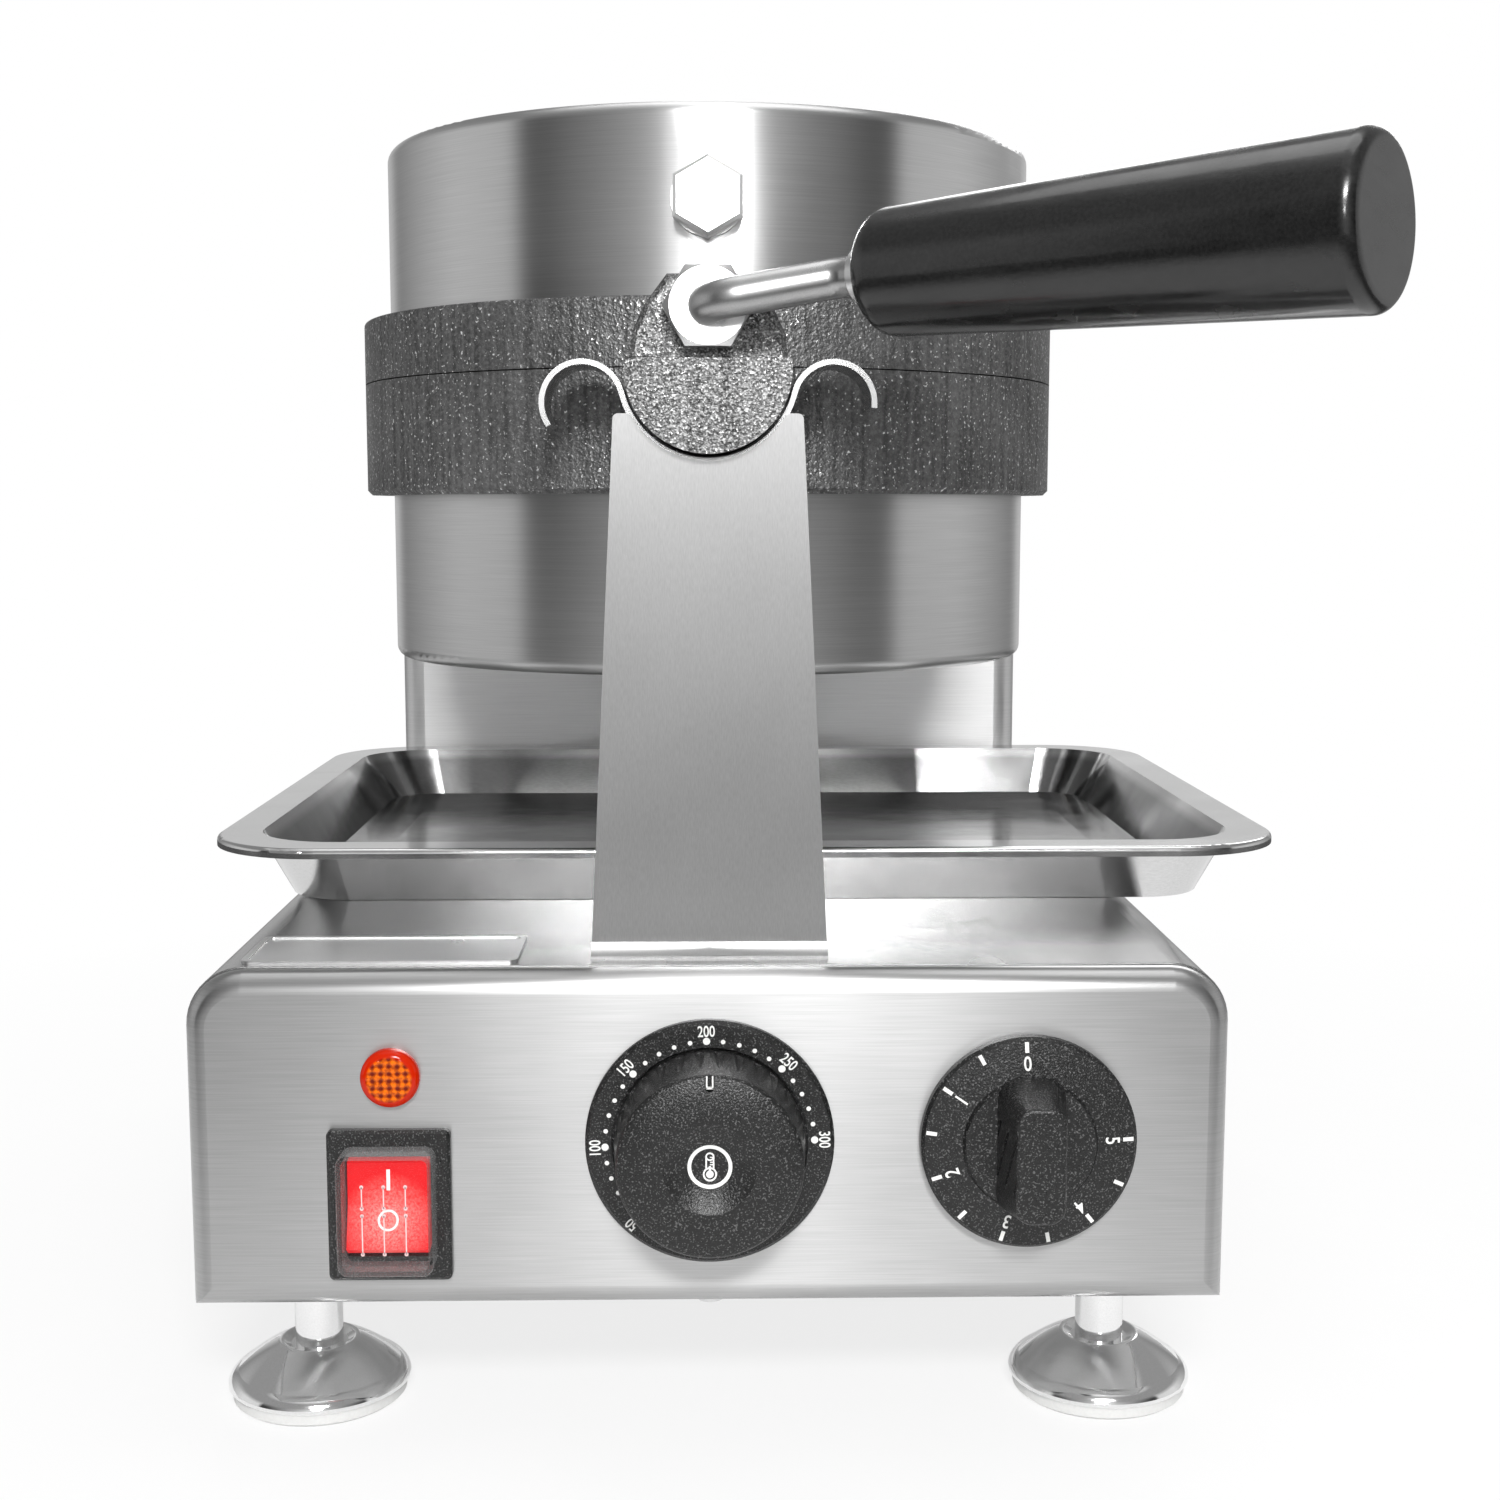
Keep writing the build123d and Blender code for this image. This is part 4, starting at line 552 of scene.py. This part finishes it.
class Marks:
    """Flat shapes drawn in millimetres on a face, u to the right and v up."""

    def __init__(self):
        self.shape = bmesh.new()

    def dot(self, u, v):
        return self.shape.verts.new((u, v, 0.0))

    def outline(self, points):
        self.shape.faces.new([self.dot(u, v) for u, v in points])

    def bar(self, u, v, width, height, turn=0.0):
        """Rectangle about a point, turned counter-clockwise."""
        corners = [(-width, -height), (width, -height), (width, height), (-width, height)]
        cosine, sine = cos(radians(turn)), sin(radians(turn))
        self.outline([
            (u + (a * cosine - b * sine) / 2, v + (a * sine + b * cosine) / 2) for a, b in corners
        ])

    def disc(self, u, v, radius, steps=24):
        self.outline([(u + a, v + b) for a, b in around(radius, steps)])

    def ring(self, u, v, outer, inner, steps=64):
        outside, inside = (
            [self.dot(u + a, v + b) for a, b in around(radius, steps)] for radius in (outer, inner)
        )
        for step in range(steps):
            after = (step + 1) % steps
            self.shape.faces.new((outside[step], outside[after], inside[after], inside[step]))

    def words(self, text, radius, angle, height, squeeze=0.74):
        """Characters that stand on a circle, tops outward, at an angle clockwise from the top."""
        data = bpy.data.curves.new("words", "FONT")
        data.body = text
        data.offset = STROKE_SWELL
        holder = bpy.data.objects.new("words", data)
        scene.collection.objects.link(holder)
        bpy.context.view_layer.update()
        shown = holder.evaluated_get(bpy.context.evaluated_depsgraph_get())
        drawn = bpy.data.meshes.new_from_object(shown)
        spots = [vertex.co.copy() for vertex in drawn.vertices]
        middle_u, _ = extent([spot.x for spot in spots])
        middle_v, tall = extent([spot.y for spot in spots])
        scale = height / tall
        cosine, sine = cos(radians(angle)), sin(radians(angle))
        verts = []
        for spot in spots:
            u = (spot.x - middle_u) * scale * squeeze
            v = (spot.y - middle_v) * scale + radius
            verts.append(self.dot(u * cosine + v * sine, v * cosine - u * sine))
        for face in drawn.polygons:
            self.shape.faces.new([verts[index] for index in face.vertices])
        bpy.data.objects.remove(holder)
        bpy.data.curves.remove(data)
        bpy.data.meshes.remove(drawn)

    def finish(self, name, body, look, place, thick=2 * PRINT):
        """Give the marks a thickness and lay them on a face.

        place(u, v) is a point on the face and the way out of it.
        """
        grown = bmesh.ops.extrude_face_region(self.shape, geom=self.shape.faces[:])
        raised = {item for item in grown["geom"] if isinstance(item, bmesh.types.BMVert)}
        for vertex in self.shape.verts:
            spot, out = place(vertex.co.x, vertex.co.y)
            lift = PRINT if vertex in raised else PRINT - thick
            vertex.co = spot + out * lift
        bmesh.ops.recalc_face_normals(self.shape, faces=self.shape.faces[:])
        mesh = bpy.data.meshes.new(name)
        self.shape.to_mesh(mesh)
        self.shape.free()
        piece = bpy.data.objects.new(name, mesh)
        scene.collection.objects.link(piece)
        mesh.materials.append(look)
        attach(piece, body)


def on_flat(hub, depth):
    """Places marks on an upright face at a depth, centred on a point."""
    return lambda u, v: (Vector((hub.x + u * MM, depth, hub.z + v * MM)), FORWARD)


# Thermostat. Angles in degrees clockwise from the top, lengths in mm.
DOTS = 26
DOTS_PER_NUMBER = 5
FIRST_NUMBER = 50
NUMBER_PER_DOT = 10
DOT_STEP = 9
FIRST_DOT = -135
SCALE_TILT = -1.7
DOT_R = 0.5
NUMBERED_DOT_R = 0.8
DOT_CIRCLE = 22.9
NUMBER_CIRCLE = 25.1
NUMBER_HEIGHT = 2.5
BOWL_R = 19.0           # the hollow in the knob is part of a ball
BOWL_EDGE_R = 9.8
BOWL_SINK = BOWL_R - (BOWL_R**2 - BOWL_EDGE_R**2) ** 0.5
ICON_RING = (4.75, 3.95)
BULB_V = -1.75          # middle of the bulb in the thermometer icon
BULB_RING = (1.5, 1.15)
BULB_FILL_R = 0.8
TUBE_FILL = (0, -0.7, 0.45, 1.4)
TUBE_WALL = (0.785, 0.75, 0.33, 2.6)
TUBE_TOP_V = 2.1
TUBE_TOP_RING = (0.95, 0.62)
MARK_STEP = 0.55        # between the marks beside the tube
POINTER_SINK = 1.05     # the pointer's notch opens this far behind the knob's front
POINTER_HALF = 0.62     # half the distance between the pointer's two strokes
POINTER_WIDTH = 1.5
POINTER_HEIGHT = 2.5
POINTER_STROKE = 0.32
POINTER_V = 18.5
POINTER_FOOT_V = 17.3

dial = centre("thermostat_bezel")
knob_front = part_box("thermostat_knob")[0][1]

scale = Marks()
for index in range(DOTS):
    angle = FIRST_DOT + DOT_STEP * index + SCALE_TILT
    numbered = index % DOTS_PER_NUMBER == 0
    scale.disc(*clock(DOT_CIRCLE, angle), NUMBERED_DOT_R if numbered else DOT_R)
    if numbered:
        number = str(FIRST_NUMBER + NUMBER_PER_DOT * index)
        scale.words(number, NUMBER_CIRCLE, angle, NUMBER_HEIGHT)
bezel_face = on_flat(dial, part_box("thermostat_bezel")[0][1])
scale.finish("thermostat_scale", "base", white_print, bezel_face)


def in_bowl(u, v):
    """Places marks in the hollow of the thermostat knob."""
    rise = (BOWL_R**2 - u * u - v * v) ** 0.5
    depth = BOWL_SINK - BOWL_R + rise
    spot = Vector((dial.x + u * MM, knob_front + depth * MM, dial.z + v * MM))
    return spot, Vector((-u, -rise, -v)) / BOWL_R


icon = Marks()
icon.ring(0, 0, *ICON_RING)
icon.ring(0, BULB_V, *BULB_RING, 32)
icon.disc(0, BULB_V, BULB_FILL_R)
icon.bar(*TUBE_FILL)
icon.ring(0, TUBE_TOP_V, *TUBE_TOP_RING, 32)
wall_u, *wall_shape = TUBE_WALL
for side in (-1, 1):
    icon.bar(side * wall_u, *wall_shape)
for step in range(4):
    icon.bar(0.32, 0.3 + MARK_STEP * step, 0.6, 0.22)
icon.finish("thermostat_icon", "thermostat_dial", white_print, in_bowl)

pointer = Marks()
for side in (-1, 1):
    pointer.bar(side * POINTER_HALF, POINTER_V, POINTER_STROKE, POINTER_HEIGHT)
pointer.bar(0, POINTER_FOOT_V, POINTER_WIDTH, POINTER_STROKE)
notch_floor = on_flat(dial, knob_front + POINTER_SINK * MM)
pointer.finish("thermostat_pointer", "thermostat_dial", white_print, notch_floor, thick=MM)

# Timer. Its scale is on the knob's skirt and turns with it.
TICKS = 11
TICK_STEP = -27
TIMER_TILT = -2.5
TICK_SIZE = (0.85, 2.3)
TICK_CIRCLE = 21.6
DIGIT_CIRCLE = 18.1
DIGIT_HEIGHT = 3.2
SKIRT_R = 23.0
SKIRT_EDGE = 4.0        # how far the skirt's edge stands in front of the panel
SKIRT_RUN = 8.2         # the skirt comes 1 mm forward in this run towards its middle

timer = centre("timer_knob")
panel_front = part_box("front_panel")[0][1]


def on_skirt(u, v):
    """Places marks on the timer's slightly coned skirt."""
    reach = (u * u + v * v) ** 0.5
    depth = (SKIRT_EDGE + (SKIRT_R - min(reach, SKIRT_R)) / SKIRT_RUN) * MM
    return Vector((timer.x + u * MM, panel_front - depth, timer.z + v * MM)), FORWARD


minutes = Marks()
for index in range(TICKS):
    angle = TICK_STEP * index + TIMER_TILT
    minutes.bar(*clock(TICK_CIRCLE, angle), *TICK_SIZE, -angle)
    if index % 2 == 0:
        minutes.words(str(index // 2), DIGIT_CIRCLE, angle, DIGIT_HEIGHT, 0.8)
minutes.finish("timer_scale", "timer_dial", white_print, on_skirt)

# Switch. Marks on the rocker, and the ribs of its splash cover.
ROCKER_TILT = radians(10)
ROCKER_MIDDLE = 2.7     # how far the rocker's middle stands in front of the panel
ROCKER_DISH = 1.3       # how much further its ends stand
ROCKER_HALF = 9.4
ON_V = 5.6              # middle of the bar that means on
ON_BAR = (0.8, 4.6)
OFF_V = -3.2            # middle of the ring that means off
OFF_RING = (2.3, 1.8)
RIB_WIDTH = 0.26
RIB_END_R = 0.42
RIB_PITCH = 4.7
RIB_SPANS = ((2.0, 6.8), (-8.2, 0.4))

rocker_spot = Vector((centre("rocker").x, panel_front, centre("switch_housing").z))


def on_rocker(u, v):
    """Places marks on the rocker's two front faces."""
    depth = ROCKER_MIDDLE + ROCKER_DISH * abs(v) / ROCKER_HALF
    y = -depth * cos(ROCKER_TILT) + v * sin(ROCKER_TILT)
    z = depth * sin(ROCKER_TILT) + v * cos(ROCKER_TILT)
    return rocker_spot + Vector((u, y, z)) * MM, FORWARD


symbols = Marks()
symbols.bar(0, ON_V, *ON_BAR)
symbols.ring(0, OFF_V, *OFF_RING, 40)
symbols.finish("rocker_marks", "rocker", white_print, on_rocker)

# painted light: the ribs are clear plastic, tinted pink as the glow of the red lamp behind the
# rocker
rib_plastic = painted("clear_rib", (0.85, 0.6, 0.6), 0.2)
cover_face = on_flat(centre("switch_cover"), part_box("switch_cover")[0][1])
ribs = Marks()
for column in (-1, 0, 1):
    for low, high in RIB_SPANS:
        ribs.bar(column * RIB_PITCH, (low + high) / 2, RIB_WIDTH, high - low)
        for end in (low, high):
            ribs.disc(column * RIB_PITCH, end, RIB_END_R, 16)
ribs.finish("cover_ribs", "base", rib_plastic, cover_face)
